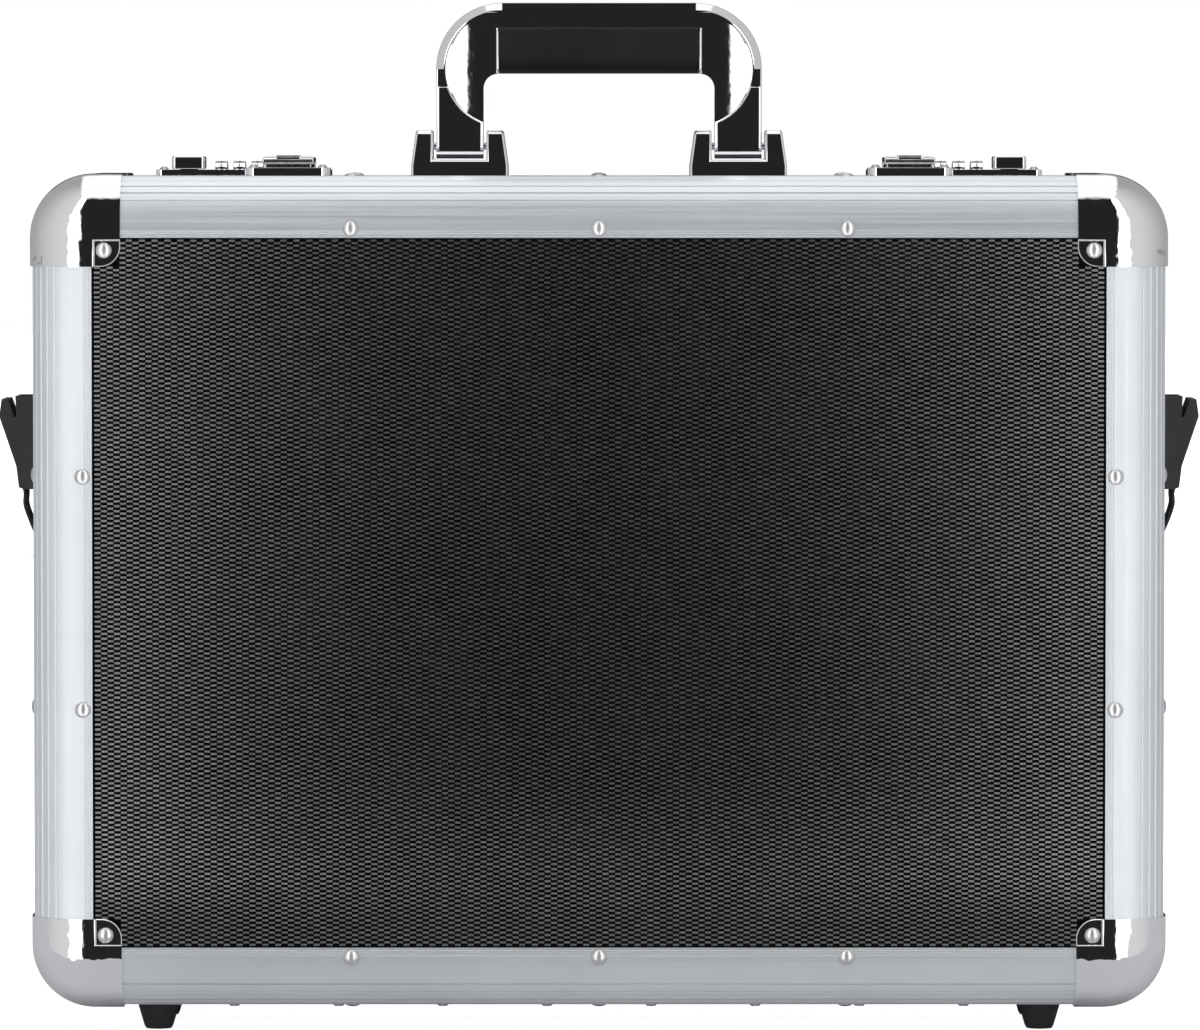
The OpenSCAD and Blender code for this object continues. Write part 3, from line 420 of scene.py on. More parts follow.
def dash_print():
    f = Finish("panel_skin_dashes")
    shade_of = f.add("ShaderNodeAttribute", out="Fac", attribute_name="dash_shade")
    place = f.coords()
    fibre = f.noise(f.coords((300, 900, 4000)), 1.0, 3.0, 0.6)
    ripple = f.noise(place, 14.0, 2.0, 0.5)
    print_colour = f.tint(shade_of, DASH_DARK, DASH_LIGHT)
    f.set(Base_Color=print_colour, Metallic=1.0, Roughness=f.spread(fibre, 0.24, 0.27, 0.3, 0.7))
    x, _, z = f.axes(place)
    height = f.calc("SUBTRACT", z, MID_Z)
    below = f.calc("MINIMUM", f.calc("ADD", height, FOOT_STARTS), 0.0)
    sideways = f.calc("MULTIPLY", f.calc("MULTIPLY", x, x), DISH)
    at_foot = f.calc("MULTIPLY", f.calc("MULTIPLY", below, below), FOOT_DISH)
    bowl = f.bump(f.calc("ADD", sideways, at_foot), 1.0, -1.0)
    f.set(Normal=f.bump(fibre, 0.05, 0.01 * MM, f.bump(ripple, 1.0, 0.05 * MM, bowl)))
    return f.material


panel_dashes = dash_print()
print("dash print", panel_dashes.name)

# %% [markdown]
# ## The edge extrusions
# Each extrusion is one profile pulled through a die: a nearly flat flange beside the panel with three
# hairline grooves, a round edge with five deeper ones, and a flat side. The profile is worked out from two
# arcs that meet smoothly, the grooves are notched into it, and the piece is a loft of that one profile. The
# slight crown of the flange is what makes a mirror finish on the caps change from black to white.

# %% Edge profile
CROWN_R = 44 * MM
CROWN_TO = math.radians(15)
ROUND_R = (EDGE_W - CROWN_R * math.sin(CROWN_TO)) / (1 - math.sin(CROWN_TO))
DEEP_AT = (14.9, 18.0, 20.7, 22.8, 24.2)  # mm out from the panel
FINE_AT = (0.9, 1.9, 2.9)
DEEP_HALF, DEEP = 0.42 * MM, 0.30 * MM
FINE_HALF, FINE = 0.22 * MM, 0.20 * MM
NOTCH_CLEAR = 0.004  # radians of the round


def face_point(angle, grow=0.0):
    """A point of the profile as (outward from the panel, inward from the face)."""
    if angle <= CROWN_TO:
        radius, u, v = CROWN_R, 0.0, CROWN_R
    else:
        radius, u = ROUND_R, EDGE_W - ROUND_R
        v = CROWN_R - (CROWN_R - ROUND_R) * math.cos(CROWN_TO)
    radius += grow
    return u + radius * math.sin(angle), v - radius * math.cos(angle)


def angle_at(u):
    if u < CROWN_R * math.sin(CROWN_TO):
        return math.asin(u / CROWN_R)
    return math.asin((u - EDGE_W + ROUND_R) / ROUND_R)


def profile_angles(steps):
    return [i * math.pi / 2 / steps for i in range(steps + 1)]


def grooved_profile():
    notches = [(u * MM, DEEP_HALF, DEEP) for u in DEEP_AT] + [(u * MM, FINE_HALF, FINE) for u in FINE_AT]
    points = []
    for u, half, depth in notches:
        a = angle_at(u)
        reach = half / (CROWN_R if a <= CROWN_TO else ROUND_R)
        points += [(a - reach, 0.0), (a, -depth), (a + reach, 0.0)]
    spans = [(p[0], q[0]) for p, q in zip(points[::3], points[2::3])]
    for a in profile_angles(40):
        if not any(low - NOTCH_CLEAR < a < high + NOTCH_CLEAR for low, high in spans):
            points.append((a, 0.0))
    outer = [face_point(a, grow) for a, grow in sorted(points)]
    outer.append((EDGE_W, EDGE_D))
    inner = [face_point(a, -SKIN_T) for a in profile_angles(12)]
    inner.append((EDGE_W - SKIN_T, EDGE_D))
    return outer + inner[::-1]


EDGE_PROFILE = grooved_profile()


def edge_rings(half, side):
    s = 1 if side in ("top", "right") else -1
    rings = []
    for end in (-1, 1):
        if side in ("top", "bottom"):
            rings.append([in_half(half, end * PANEL_HW, v, s * (PANEL_HH + u)) for u, v in EDGE_PROFILE])
        else:
            rings.append([in_half(half, s * (PANEL_HW + u), v, end * PANEL_HH) for u, v in EDGE_PROFILE])
    return rings


def run_across(obj, half, upright):
    """Adds the UV map: U grows across the profile, V along the extrusion."""
    layer = obj.data.uv_layers.new(name="across")
    for loop in obj.data.loops:
        x, y, z = obj.data.vertices[loop.vertex_index].co
        v = inward(half, y)
        layer.data[loop.index].uv = (abs(x) + v, z) if upright else (abs(z - MID_Z) + v, x)
    return obj


for half in ("lid", "base"):
    for side in ("top", "bottom"):
        edge = new_piece(f"{half}_extrusion_{side}", *loft(edge_rings(half, side)), angle=12)
        dress(run_across(edge, half, False), f"{half}_edge_{side}", aluminium_x)
    sides = joined(loft(edge_rings(half, "left")), loft(edge_rings(half, "right")))
    sides = new_piece(f"{half}_extrusion_sides", *sides, angle=12)
    dress(run_across(sides, half, True), f"{half}_edge_sides", aluminium_z)
print("profile points", len(EDGE_PROFILE))

# %% [markdown]
# ## The corner caps
# A cap is pressed from one blank: the edge profile, grown by the sheet's thickness, turns round the panel's
# corner and runs on a little along both edges. Beside the panel stands a rounded bead, and a tab with one
# round corner lies on the panel under a rivet. The sweep is lofted ring by ring, which keeps the
# mirror surface free of facets. A boolean of a torus and two bars would leave a seam that chrome shows.

# %% Corner caps
CAP_FIT = 0.15 * MM
TURN_STEPS = 24
BEAD, BEAD_ROUND, BEAD_SEAT = 1.3 * MM, 0.9 * MM, 0.3 * MM
TAB_LIP = 0.35 * MM
TAB_ROUND = 8 * MM


def cap_profile(reach):
    outer = [face_point(a, CAP_T) for a in profile_angles(36)] + [(EDGE_W + CAP_T, reach)]
    inner = [face_point(a, CAP_FIT) for a in profile_angles(18)] + [(EDGE_W + CAP_FIT, reach)]
    return outer + inner[::-1]


def cap_sweep(reach):
    """Rings in the corner's own terms: x and z from the panel's corner, y inward."""
    section = cap_profile(reach)
    rings = [[Vector((-CAP_RUN * (1 - t), v, u)) for u, v in section] for t in (0.0, 0.5, 1.0)]
    for i in range(1, TURN_STEPS):
        a = i * math.pi / 2 / TURN_STEPS
        rings.append([Vector((u * math.sin(a), v, u * math.cos(a))) for u, v in section])
    rings += [[Vector((u, v, -CAP_RUN * t)) for u, v in section] for t in (0.0, 0.5, 1.0)]
    return loft(rings)


def cap_bead():
    """An L of rounded section along both inner edges of the cap."""
    top, low = -CAP_T, SKIN_T - CAP_T
    section = [(BEAD_SEAT, low), (BEAD_SEAT, top)]
    for i in range(7):
        a = i * math.pi / 12
        section.append((-BEAD + BEAD_ROUND * (1 - math.sin(a)), top + BEAD_ROUND * (1 - math.cos(a))))
    section.append((-BEAD, low))
    rings = [[Vector((-CAP_RUN, v, u)) for u, v in section]]
    rings.append([Vector((u, v, u)) for u, v in section])
    rings.append([Vector((u, v, -CAP_RUN)) for u, v in section])
    return loft(rings)


def cap_tab():
    """The tab on the panel: three square corners, and a round one towards the middle."""
    outline = [(0.0, 0.0), (-CAP_RUN, 0.0)]
    centre = TAB_ROUND - CAP_RUN
    for i in range(13):
        a = math.pi + i * math.pi / 24
        outline.append((centre + TAB_ROUND * math.cos(a), centre + TAB_ROUND * math.sin(a)))
    outline.append((0.0, -CAP_RUN))
    top = SKIN_T - CAP_T
    rings = []
    for shrink, v in ((0.0, SKIN_T), (0.0, top + TAB_LIP), (TAB_LIP, top)):
        k = 1 - shrink / CAP_RUN
        rings.append([Vector((x * k, v, z * k)) for x, z in outline])
    return loft(rings)


for half in ("lid", "base"):
    reach = max(inward(half, p.y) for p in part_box(f"{half}_corner_top_left"))
    blank = joined(cap_sweep(reach), cap_bead(), cap_tab())
    for level, up in (("top", 1), ("bottom", -1)):
        for side, right in (("left", -1), ("right", 1)):
            node = f"{half}_corner_{level}_{side}"
            place = [in_half(half, right * (PANEL_HW + p.x), p.y, up * (PANEL_HH + p.z)) for p in blank[0]]
            cap = new_piece(f"{node}_cap", place, blank[1], angle=30)
            dress(cap, node, cap_chrome)
print("caps", len(blank[0]), "points each")

# %% [markdown]
# ## The embossed panel skins
# The front and back are black plastic skins embossed with rows of short dashes, every second column shifted
# by half a row. There are over twenty thousand dashes on a panel, so Geometry Nodes lay them out: a cloud of
# points is numbered, each number becomes a column and a row, and a small flat-topped pillow is placed on
# each point. A bump map could fake this, but the dashes would vanish at the edge of the view.

# %% Dash pillow
COLUMN = 2.59 * MM
ROW = 1.98 * MM
DASH_HALF_W, DASH_RISE, DASH_HALF_H = 1.22 * MM, 0.20 * MM, 0.47 * MM
DASH_SLOPE = 0.02 * MM


def dash_pillow():
    points = []
    for shrink, y in ((0.0, 0.0), (DASH_SLOPE, -DASH_RISE)):
        w, h = DASH_HALF_W - shrink, DASH_HALF_H - shrink
        points += [(-w, y, -h), (w, y, -h), (w, y, h), (-w, y, h)]
    faces = [(4, 5, 6, 7)] + [(k, (k + 1) % 4, 4 + (k + 1) % 4, 4 + k) for k in range(4)]
    mesh = bpy.data.meshes.new("dash")
    mesh.from_pydata(points, [], faces)
    mesh.materials.append(panel_dashes)
    return in_scene("dash", mesh)


dash = dash_pillow()
print("dash pillow", len(dash.data.polygons), "faces")

# %% [markdown]
# ## A small builder for Geometry Nodes
# The trees below are written as code. This class declares named inputs, adds nodes and links sockets, and
# sets the modifier's inputs by their identifiers before anything is evaluated.


# %% Geometry Nodes builder
class Tree:
    def __init__(self, name, **inputs):
        self.tree = bpy.data.node_groups.new(name, "GeometryNodeTree")
        self.tree.interface.new_socket("Geometry", in_out="OUTPUT", socket_type="NodeSocketGeometry")
        self.tree.interface.new_socket("Geometry", in_out="INPUT", socket_type="NodeSocketGeometry")
        kinds = {"f": "Float", "i": "Int", "o": "Object", "m": "Material"}
        for title, kind in inputs.items():
            self.tree.interface.new_socket(title, in_out="INPUT", socket_type="NodeSocket" + kinds[kind])
        self.entry = self.tree.nodes.new("NodeGroupInput")
        self.exit = self.tree.nodes.new("NodeGroupOutput")

    def given(self, title):
        return self.entry.outputs[title]

    def add(self, kind, *values, out=0, **settings):
        node = self.tree.nodes.new(kind)
        links = {}
        for key, value in settings.items():
            if hasattr(node, key):
                setattr(node, key, value)
            else:
                links[key.replace("_", " ")] = value
        enabled = [s for s in node.inputs if s.enabled]
        for socket, value in list(zip(enabled, values)) + [(node.inputs[k], v) for k, v in links.items()]:
            if isinstance(value, bpy.types.NodeSocket):
                self.tree.links.new(value, socket)
            elif value is not None:
                socket.default_value = value
        found = [s for s in node.outputs if s.enabled]
        return found[out] if isinstance(out, int) else node.outputs[out]

    def math(self, operation, *values):
        return self.add("ShaderNodeMath", *values, operation=operation)

    def finish(self, geometry):
        self.tree.links.new(geometry, self.exit.inputs[0])

    def run(self, obj, **values):
        modifier = obj.modifiers.new("nodes", "NODES")
        modifier.node_group = self.tree
        for item in self.tree.interface.items_tree:
            if item.item_type == "SOCKET" and item.in_out == "INPUT" and item.name in values:
                modifier[item.identifier] = values[item.name]
        return settle(obj)


# %% [markdown]
# ## Laying out the dashes
# Points are numbered from zero. The number modulo the columns is the column and the number divided by them
# is the row. Points under a corner cap's tab are deleted, each dash keeps a random shade of its own from a
# fixed seed, and the instances are made real and joined to the board. A panel's lower and upper rows are
# two pieces, so that neither of them passes 200,000 triangles.


# %% Weave tree
DASH_SEED = 7


def weave_tree():
    t = Tree("embossed_weave", Columns="i", Rows="i", Start="i", All_Rows="i", Column="f", Row="f", Level="f",
             Middle="f", Half_Width="f", Half_Height="f", Tab="f", Facing="f", Dash="o", Skin="m")
    count = t.math("MULTIPLY", t.given("Columns"), t.given("Rows"))
    index = t.add("GeometryNodeInputIndex")
    column = t.math("FLOORED_MODULO", index, t.given("Columns"))
    row = t.math("ADD", t.math("FLOOR", t.math("DIVIDE", index, t.given("Columns"))), t.given("Start"))
    shift = t.math("MULTIPLY_ADD", t.math("FLOORED_MODULO", column, 2.0), 0.5, -0.25)
    half_columns = t.math("MULTIPLY_ADD", t.given("Columns"), 0.5, -0.5)
    half_rows = t.math("MULTIPLY_ADD", t.given("All_Rows"), 0.5, -0.5)
    x = t.math("MULTIPLY", t.math("SUBTRACT", column, half_columns), t.given("Column"))
    up = t.math("ADD", t.math("SUBTRACT", row, half_rows), shift)
    z = t.math("MULTIPLY", up, t.given("Row"))
    place = t.add("ShaderNodeCombineXYZ", x, t.given("Level"), t.math("ADD", z, t.given("Middle")))
    points = t.add("GeometryNodePoints", Count=count, Position=place)
    tab_x = t.math("SUBTRACT", t.given("Half_Width"), t.given("Tab"))
    beside = t.math("GREATER_THAN", t.math("ABSOLUTE", x), tab_x)
    tab_z = t.math("SUBTRACT", t.given("Half_Height"), t.given("Tab"))
    above = t.math("GREATER_THAN", t.math("ABSOLUTE", z), tab_z)
    under_tab = t.math("MULTIPLY", beside, above)
    points = t.add("GeometryNodeDeleteGeometry", points, under_tab, domain="POINT")
    pillow = t.add("GeometryNodeObjectInfo", Object=t.given("Dash"), out="Geometry")
    flip = t.add("ShaderNodeCombineXYZ", 0.0, 0.0, t.given("Facing"))
    laid = t.add("GeometryNodeInstanceOnPoints", Points=points, Instance=pillow, Rotation=flip)
    chance = t.add("FunctionNodeRandomValue", data_type="FLOAT", Seed=DASH_SEED)
    laid = t.add("GeometryNodeStoreNamedAttribute", Geometry=laid, Name="dash_shade", Value=chance,
                 domain="INSTANCE", data_type="FLOAT")
    real = t.add("GeometryNodeRealizeInstances", laid)
    real = t.add("GeometryNodeSetMaterial", real, None, t.given("Skin"))
    both = t.tree.nodes.new("GeometryNodeJoinGeometry")
    t.tree.links.new(real, both.inputs[0])
    t.tree.links.new(t.given("Geometry"), both.inputs[0])
    t.finish(both.outputs[0])
    return t


weave = weave_tree()
COLUMNS = int(2 * PANEL_HW / COLUMN)
ROWS = int(2 * PANEL_HH / ROW)
print("columns", COLUMNS, "rows", ROWS)

# %% Panel skins
for half in ("lid", "base"):
    low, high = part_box(f"{half}_panel")
    front = half == "lid"
    outline = ((low.x, low.z), (high.x, low.z), (high.x, high.z), (low.x, high.z))
    rings = [[Vector((x, y, z)) for x, z in outline] for y in (low.y, high.y)]
    for part, start in (("skin", 0), ("upper_weave", ROWS // 2)):
        lower = start == 0
        board = new_piece(f"{half}_panel_{part}", *(loft(rings) if lower else ([], [])))
        if lower:
            board.data.materials.append(panel_ground_black_painted_shade)
        weave.run(board, Columns=COLUMNS, Rows=ROWS // 2, Start=start, All_Rows=ROWS, Column=COLUMN, Row=ROW,
                  Middle=MID_Z, Level=low.y if front else high.y, Half_Width=PANEL_HW, Half_Height=PANEL_HH,
                  Tab=CAP_RUN, Facing=0.0 if front else math.pi, Dash=dash, Skin=panel_dashes)
        if lower:
            dress(board, f"{half}_panel")
        else:
            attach(board, half)
        print(board.name, "faces", len(board.data.polygons), [m.name for m in board.data.materials])
bpy.data.objects.remove(dash)

# %% [markdown]
# ## Rivets
# All large rivets of a half are one group: domed heads on the flange, on the sides and on the cap tabs. The
# smaller ones under the hinge leaf are a second. A head is turned from a short profile with a small flat
# collar, as a real one is headed in a die. A tree sets one on each point of a cloud and turns it to the
# point's own direction.


# %% Turned parts and the stud tree
def turned(name, profile, segments):
    """A part turned round Z from (radius, height) pairs."""
    rings = []
    for i in range(segments):
        a = 2 * math.pi * i / segments
        rings.append([Vector((r * math.cos(a), r * math.sin(a), h)) for r, h in profile])
    rings.append(rings[0])
    obj = new_piece(name, *loft(rings, closed=False, caps=False), angle=40)
    obj.data.materials.append(rivet_chrome)
    return obj


def stud_tree():
    t = Tree("studs_on_points", Stud="o", Finish="m")
    way = t.add("GeometryNodeInputNamedAttribute", data_type="FLOAT_VECTOR", Name="way")
    turn = t.add("FunctionNodeAlignRotationToVector", Vector=way, axis="Z")
    stud = t.add("GeometryNodeObjectInfo", Object=t.given("Stud"), out="Geometry")
    points = t.add("GeometryNodeMeshToPoints", t.given("Geometry"))
    laid = t.add("GeometryNodeInstanceOnPoints", Points=points, Instance=stud, Rotation=turn)
    real = t.add("GeometryNodeRealizeInstances", laid)
    t.finish(t.add("GeometryNodeSetMaterial", real, None, t.given("Finish")))
    return t


studs = stud_tree()


def set_studs(name, places, stud, finish):
    """places is a list of (point, direction)."""
    mesh = bpy.data.meshes.new(name)
    mesh.from_pydata([tuple(p) for p, _ in places], [], [])
    way = mesh.attributes.new("way", "FLOAT_VECTOR", "POINT")
    way.data.foreach_set("vector", [c for _, d in places for c in d])
    return studs.run(in_scene(name, mesh), Stud=stud, Finish=finish)


# %% Rivet places
RIVET_R, RIVET_H = 3.2 * MM, 1.2 * MM
HINGE_RIVET_R, HINGE_RIVET_H = 2.2 * MM, 0.6 * MM
HINGE_RIVETS = 8
LEAF_MIDDLE = 8 * MM
COLLAR = 0.18 * MM
SHANK, SHANK_SHARE = 1.0 * MM, 0.55
RIVET_X = (-100 * MM, 0.0, 100 * MM)
RIVET_Z = (-47 * MM, 47 * MM)
FACE_U = 3.8 * MM
SIDE_V = EDGE_D - 3.8 * MM
CAP_RIVET = 5 * MM
SIDE_X = PANEL_HW + EDGE_W
WEBBING_T = 1.4 * MM
STRAP_Y = PARTING_Y + 26 * MM
STRAP_RIVET_X = SIDE_X - SKIN_T + 2 * WEBBING_T
STRAP_RIVET_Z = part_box("strap_tabs")[0].z + 10 * MM


def rivet_profile(r, h):
    """Shank, flat collar and a dome that starts a little steep, as (radius, height) pairs."""
    inner = r * SHANK_SHARE
    profile = [(0.0, -SHANK), (inner, -SHANK), (inner, 0.0), (r, 0.0), (r, COLLAR)]
    start = math.radians(12)
    for i in range(9):
        a = start + (math.pi / 2 - start) * i / 8
        rise = (math.sin(a) - math.sin(start)) / (1 - math.sin(start))
        profile.append((r * 0.97 * math.cos(a) / math.cos(start), COLLAR + (h - COLLAR) * rise))
    profile[-1] = (0.0, h)
    return profile


def rivet_places(half):
    out = Vector((0, -1, 0)) if half == "lid" else Vector((0, 1, 0))
    seat = face_point(angle_at(FACE_U))[1]
    places = []
    for s in (-1, 1):
        for x in RIVET_X:
            places.append((in_half(half, x, seat, s * (PANEL_HH + FACE_U)), out))
            places.append((in_half(half, x, SIDE_V, s * (PANEL_HH + EDGE_W)), Vector((0, 0, s))))
        for z in RIVET_Z:
            places.append((in_half(half, s * (PANEL_HW + FACE_U), seat, z), out))
            places.append((in_half(half, s * (PANEL_HW + EDGE_W), SIDE_V, z), Vector((s, 0, 0))))
        for t in (-1, 1):
            x, z = s * (PANEL_HW - CAP_RIVET), t * (PANEL_HH - CAP_RIVET)
            places.append((in_half(half, x, SKIN_T - CAP_T, z), out))
    return places


# %% Rivet heads
hinge_low, hinge_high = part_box("hinge_leaf_base")
pitch = (hinge_high.x - hinge_low.x) / HINGE_RIVETS
rivet = turned("rivet", rivet_profile(RIVET_R, RIVET_H), 32)
small = turned("hinge_rivet", rivet_profile(HINGE_RIVET_R, HINGE_RIVET_H), 20)
for half in ("lid", "base"):
    places = rivet_places(half)
    if half == "base":
        places += [(Vector((s * STRAP_RIVET_X, STRAP_Y, STRAP_RIVET_Z)), Vector((s, 0, 0))) for s in (-1, 1)]
    rivets = set_studs(f"{half}_rivet_heads", places, rivet, rivet_chrome)
    dress(rivets, f"{half}_rivets")
    leaf_y = PARTING_Y + (LEAF_MIDDLE if half == "base" else -LEAF_MIDDLE)
    below = [(Vector(((i + 0.5 - HINGE_RIVETS / 2) * pitch, leaf_y, hinge_low.z)), Vector((0, 0, -1)))
             for i in range(HINGE_RIVETS)]
    extra = set_studs(f"{half}_hinge_rivet_heads", below, small, rivet_chrome)
    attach(extra, half)
    print(rivets.name, len(places) + len(below))
bpy.data.objects.remove(rivet)
bpy.data.objects.remove(small)

# %% [markdown]
# ## Parts that only need their edges finished
# Stays, hinge leaves, screws, locks and feet already have their true shape in the frame, down to slots and
# bores. What they lack is the small radius that a stamped, cast or moulded edge has, and without which
# metal looks like paper. A copy of each node's mesh is merged, its flat faces are made whole again, and its
# edges are rounded. The node itself stays hidden behind the finished copy.


# %% Finished copies
NODE_MERGE, FLAT, SHARP = 2e-6, math.radians(0.6), 30.0


def finished(node, name, material, width, segments=2, weigh=None, clamp=True):
    mesh = frame["nodes"][node].data.copy()
    mesh.name = name
    obj = in_scene(name, mesh)
    bm = bmesh.new()
    bm.from_mesh(mesh)
    bmesh.ops.remove_doubles(bm, verts=bm.verts, dist=NODE_MERGE)
    bmesh.ops.dissolve_limit(bm, angle_limit=FLAT, verts=bm.verts, edges=bm.edges)
    mark_edges(bm, SHARP)
    if weigh:
        weight = bm.edges.layers.float.new("bevel_weight_edge")
        for edge in bm.edges:
            if not edge.smooth and len(edge.link_faces) == 2:
                a, b = edge.verts[0].co, edge.verts[1].co
                edge[weight] = weigh((a + b) / 2, b - a)
    bm.to_mesh(mesh)
    bm.free()
    soften(obj, width, segments, SHARP, "WEIGHT" if weigh else "ANGLE", clamp)
    return dress(obj, node, material)


for side in ("left", "right"):
    finished(f"stay_arm_{side}", f"stay_bar_{side}", plain_steel, 0.25 * MM)
    finished(f"handle_bracket_{side}", f"clevis_{side}", cast_chrome, 0.9 * MM, 3, clamp=False)
    finished(f"lock_body_{side}", f"lock_plate_{side}", lock_chrome, 0.35 * MM, 3)
    finished(f"lock_slider_{side}", f"lock_button_{side}", lock_chrome, 0.70 * MM, 3, clamp=False)
    finished(f"lock_hasp_{side}", f"lock_catch_{side}", catch_chrome, 0.40 * MM, 3, clamp=False)
    finished(f"strap_buckle_{side}", f"strap_clip_{side}", buckle_plastic, 0.45 * MM, 3)
    for i in (1, 2, 3):
        finished(f"dial_{side}_{i}", f"number_wheel_{side}_{i}", lock_chrome, 0.10 * MM)
for node, name, material, width in (
        ("stay_pivots", "stay_pivot_pins", pin_steel, 0.15 * MM),
        ("stay_studs", "stay_stud_pins", pin_steel, 0.15 * MM),
        ("hinge_leaf_lid", "piano_hinge_lid_leaf", plain_steel, 0.12 * MM),
        ("hinge_leaf_base", "piano_hinge_base_leaf", plain_steel, 0.12 * MM),
        ("hinge_pin", "piano_hinge_wire", pin_steel, 0.15 * MM),
        ("front_feet", "lid_rubber_feet", foot_rubber, 0.5 * MM),
        ("rear_feet", "base_rubber_feet", foot_rubber, 0.5 * MM),
        ("front_foot_screws", "lid_foot_screws", plain_steel, 0.1 * MM),
        ("rear_foot_screws", "base_foot_screws", plain_steel, 0.1 * MM),
        ("handle_pins", "handle_pivot_pins", pin_steel, 0.2 * MM),
        ("hasp_pins", "catch_pivot_pins", pin_steel, 0.1 * MM),
        ("lock_keepers", "lock_strike_plates", lock_chrome, 0.2 * MM),
        ("keeper_screws", "strike_plate_screws", plain_steel, 0.08 * MM),
        ("lock_screws", "lock_plate_screws", plain_steel, 0.08 * MM),
        ("dial_shafts", "number_wheel_shafts", pin_steel, 0.1 * MM),
        ("handle_grip", "handle_rubber_grip", grip_rubber, 0.8 * MM),
        ("lid_wall", "lid_side_boards", board_foil, 0.2 * MM),
        ("base_wall", "base_side_boards", board_foil, 0.2 * MM),
        ("lid_rim", "lid_rim_extrusion", aluminium_rim, 0.25 * MM),
        ("base_rim", "base_rim_extrusion", aluminium_rim, 0.25 * MM)):
    print(finished(node, name, material, width).name, round(width / MM, 2), "mm")

# %% [markdown]
# ## The cast handle
# The handle is one casting: two arms, a bar over them, and a recess in each bend. Its edges aren't all
# rounded alike. The arms' long edges get the full radius and the recess less of it, so the bevel reads a
# weight from each edge. A wide radius on every edge broke the large front face, so the others stay sharp.

# %% Handle casting
ARCH_LOW, ARCH_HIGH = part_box("handle_arch")
PIVOT_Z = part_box("handle_pins")[0].z / 2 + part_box("handle_pins")[1].z / 2
BEND_R = 27 * MM
RECESS_FROM, RECESS_TO = 20 * MM, 25.5 * MM
RECESS_TOP = PIVOT_Z + 50 * MM
ARM_EDGE = 3 * MM


def arch_weight(middle, run):
    """Full radius on the arms' long edges, and less of it round the recess in each bend."""
    on_face = min(abs(middle.y - ARCH_LOW.y), abs(middle.y - ARCH_HIGH.y)) < 0.05 * MM
    if on_face and run.length > ARM_EDGE and abs(run.z) > 0.98 * run.length:
        return 1.0
    bend = math.hypot(abs(middle.x) - ARCH_HIGH.x + BEND_R, middle.z - ARCH_HIGH.z + BEND_R)
    return 0.6 if on_face and RECESS_FROM < bend < RECESS_TO and middle.z < RECESS_TOP else 0.0


arch = finished("handle_arch", "handle_casting", cast_chrome, 0.58 * MM, 3, weigh=arch_weight, clamp=False)
print(arch.name, "faces", len(arch.data.polygons))

# %% [markdown]
# ## The lips that close the grip
# The rubber grip ends in a thin rounded lip of the casting on each side. The lip is a small ring of round
# section along the grip's outline, a loft that closes on itself, a little inside the rubber's surface.

# %% Grip lips
LIP_THICK, LIP_CORNER = 0.55 * MM, 3.0 * MM
LIP_INSET_Y, LIP_INSET_Z = 0.2 * MM, 0.1 * MM
LIP_STEPS, LIP_ROUND_STEPS = 32, 10


def grip_lip(name, x, low, high):
    half_y, half_z = (high.y - low.y) / 2 - LIP_INSET_Y, (high.z - low.z) / 2 - LIP_INSET_Z
    middle = (low + high) / 2
    rings = []
    for i in range(LIP_STEPS):
        a = 2 * math.pi * (i + 0.5) / LIP_STEPS
        c, s = math.cos(a), math.sin(a)
        at = Vector((x, middle.y + math.copysign(half_y - LIP_CORNER, c) + LIP_CORNER * c,
                     middle.z + math.copysign(half_z - LIP_CORNER, s) + LIP_CORNER * s))
        out = Vector((0, c, s))
        turns = [2 * math.pi * k / LIP_ROUND_STEPS for k in range(LIP_ROUND_STEPS)]
        rings.append([at + out * (LIP_THICK * (math.cos(b) - 1)) + Vector((LIP_THICK * math.sin(b), 0, 0))
                      for b in turns])
    rings.append(rings[0])
    return dress(new_piece(name, *loft(rings, caps=False), angle=80), "handle_arch", cast_chrome)


grip_low, grip_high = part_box("handle_grip")
for name, x in (("grip_lip_left", grip_low.x), ("grip_lip_right", grip_high.x)):
    print(grip_lip(name, x, grip_low, grip_high).name)

# %% [markdown]
# ## Numbers on the wheels
# Each wheel carries the digits 0 to 9, printed black on its rim. Flat type is turned into a mesh, its long
# edges are divided and it is bent round the wheel, because a straight stroke would sink into the curve.


# %% Digits
DIGIT_SIZE = 3.5 * MM
DIGIT_TURN = 14
INK = 0.03 * MM
LONG_STROKE = 0.6 * MM
number_ink = black("number_ink", (0.006, 0.006, 0.006), 0.5, 900.0, 0.01 * MM)


def flat_digit(digit):
    curve = bpy.data.curves.new("digit", "FONT")
    curve.body = str(digit)
    curve.size = DIGIT_SIZE
    curve.align_x, curve.align_y = "CENTER", "CENTER"
    curve.resolution_u = 3
    letter = in_scene("digit", curve)
    mesh = bpy.data.meshes.new_from_object(letter.evaluated_get(bpy.context.evaluated_depsgraph_get()))
    bpy.data.objects.remove(letter)
    return mesh


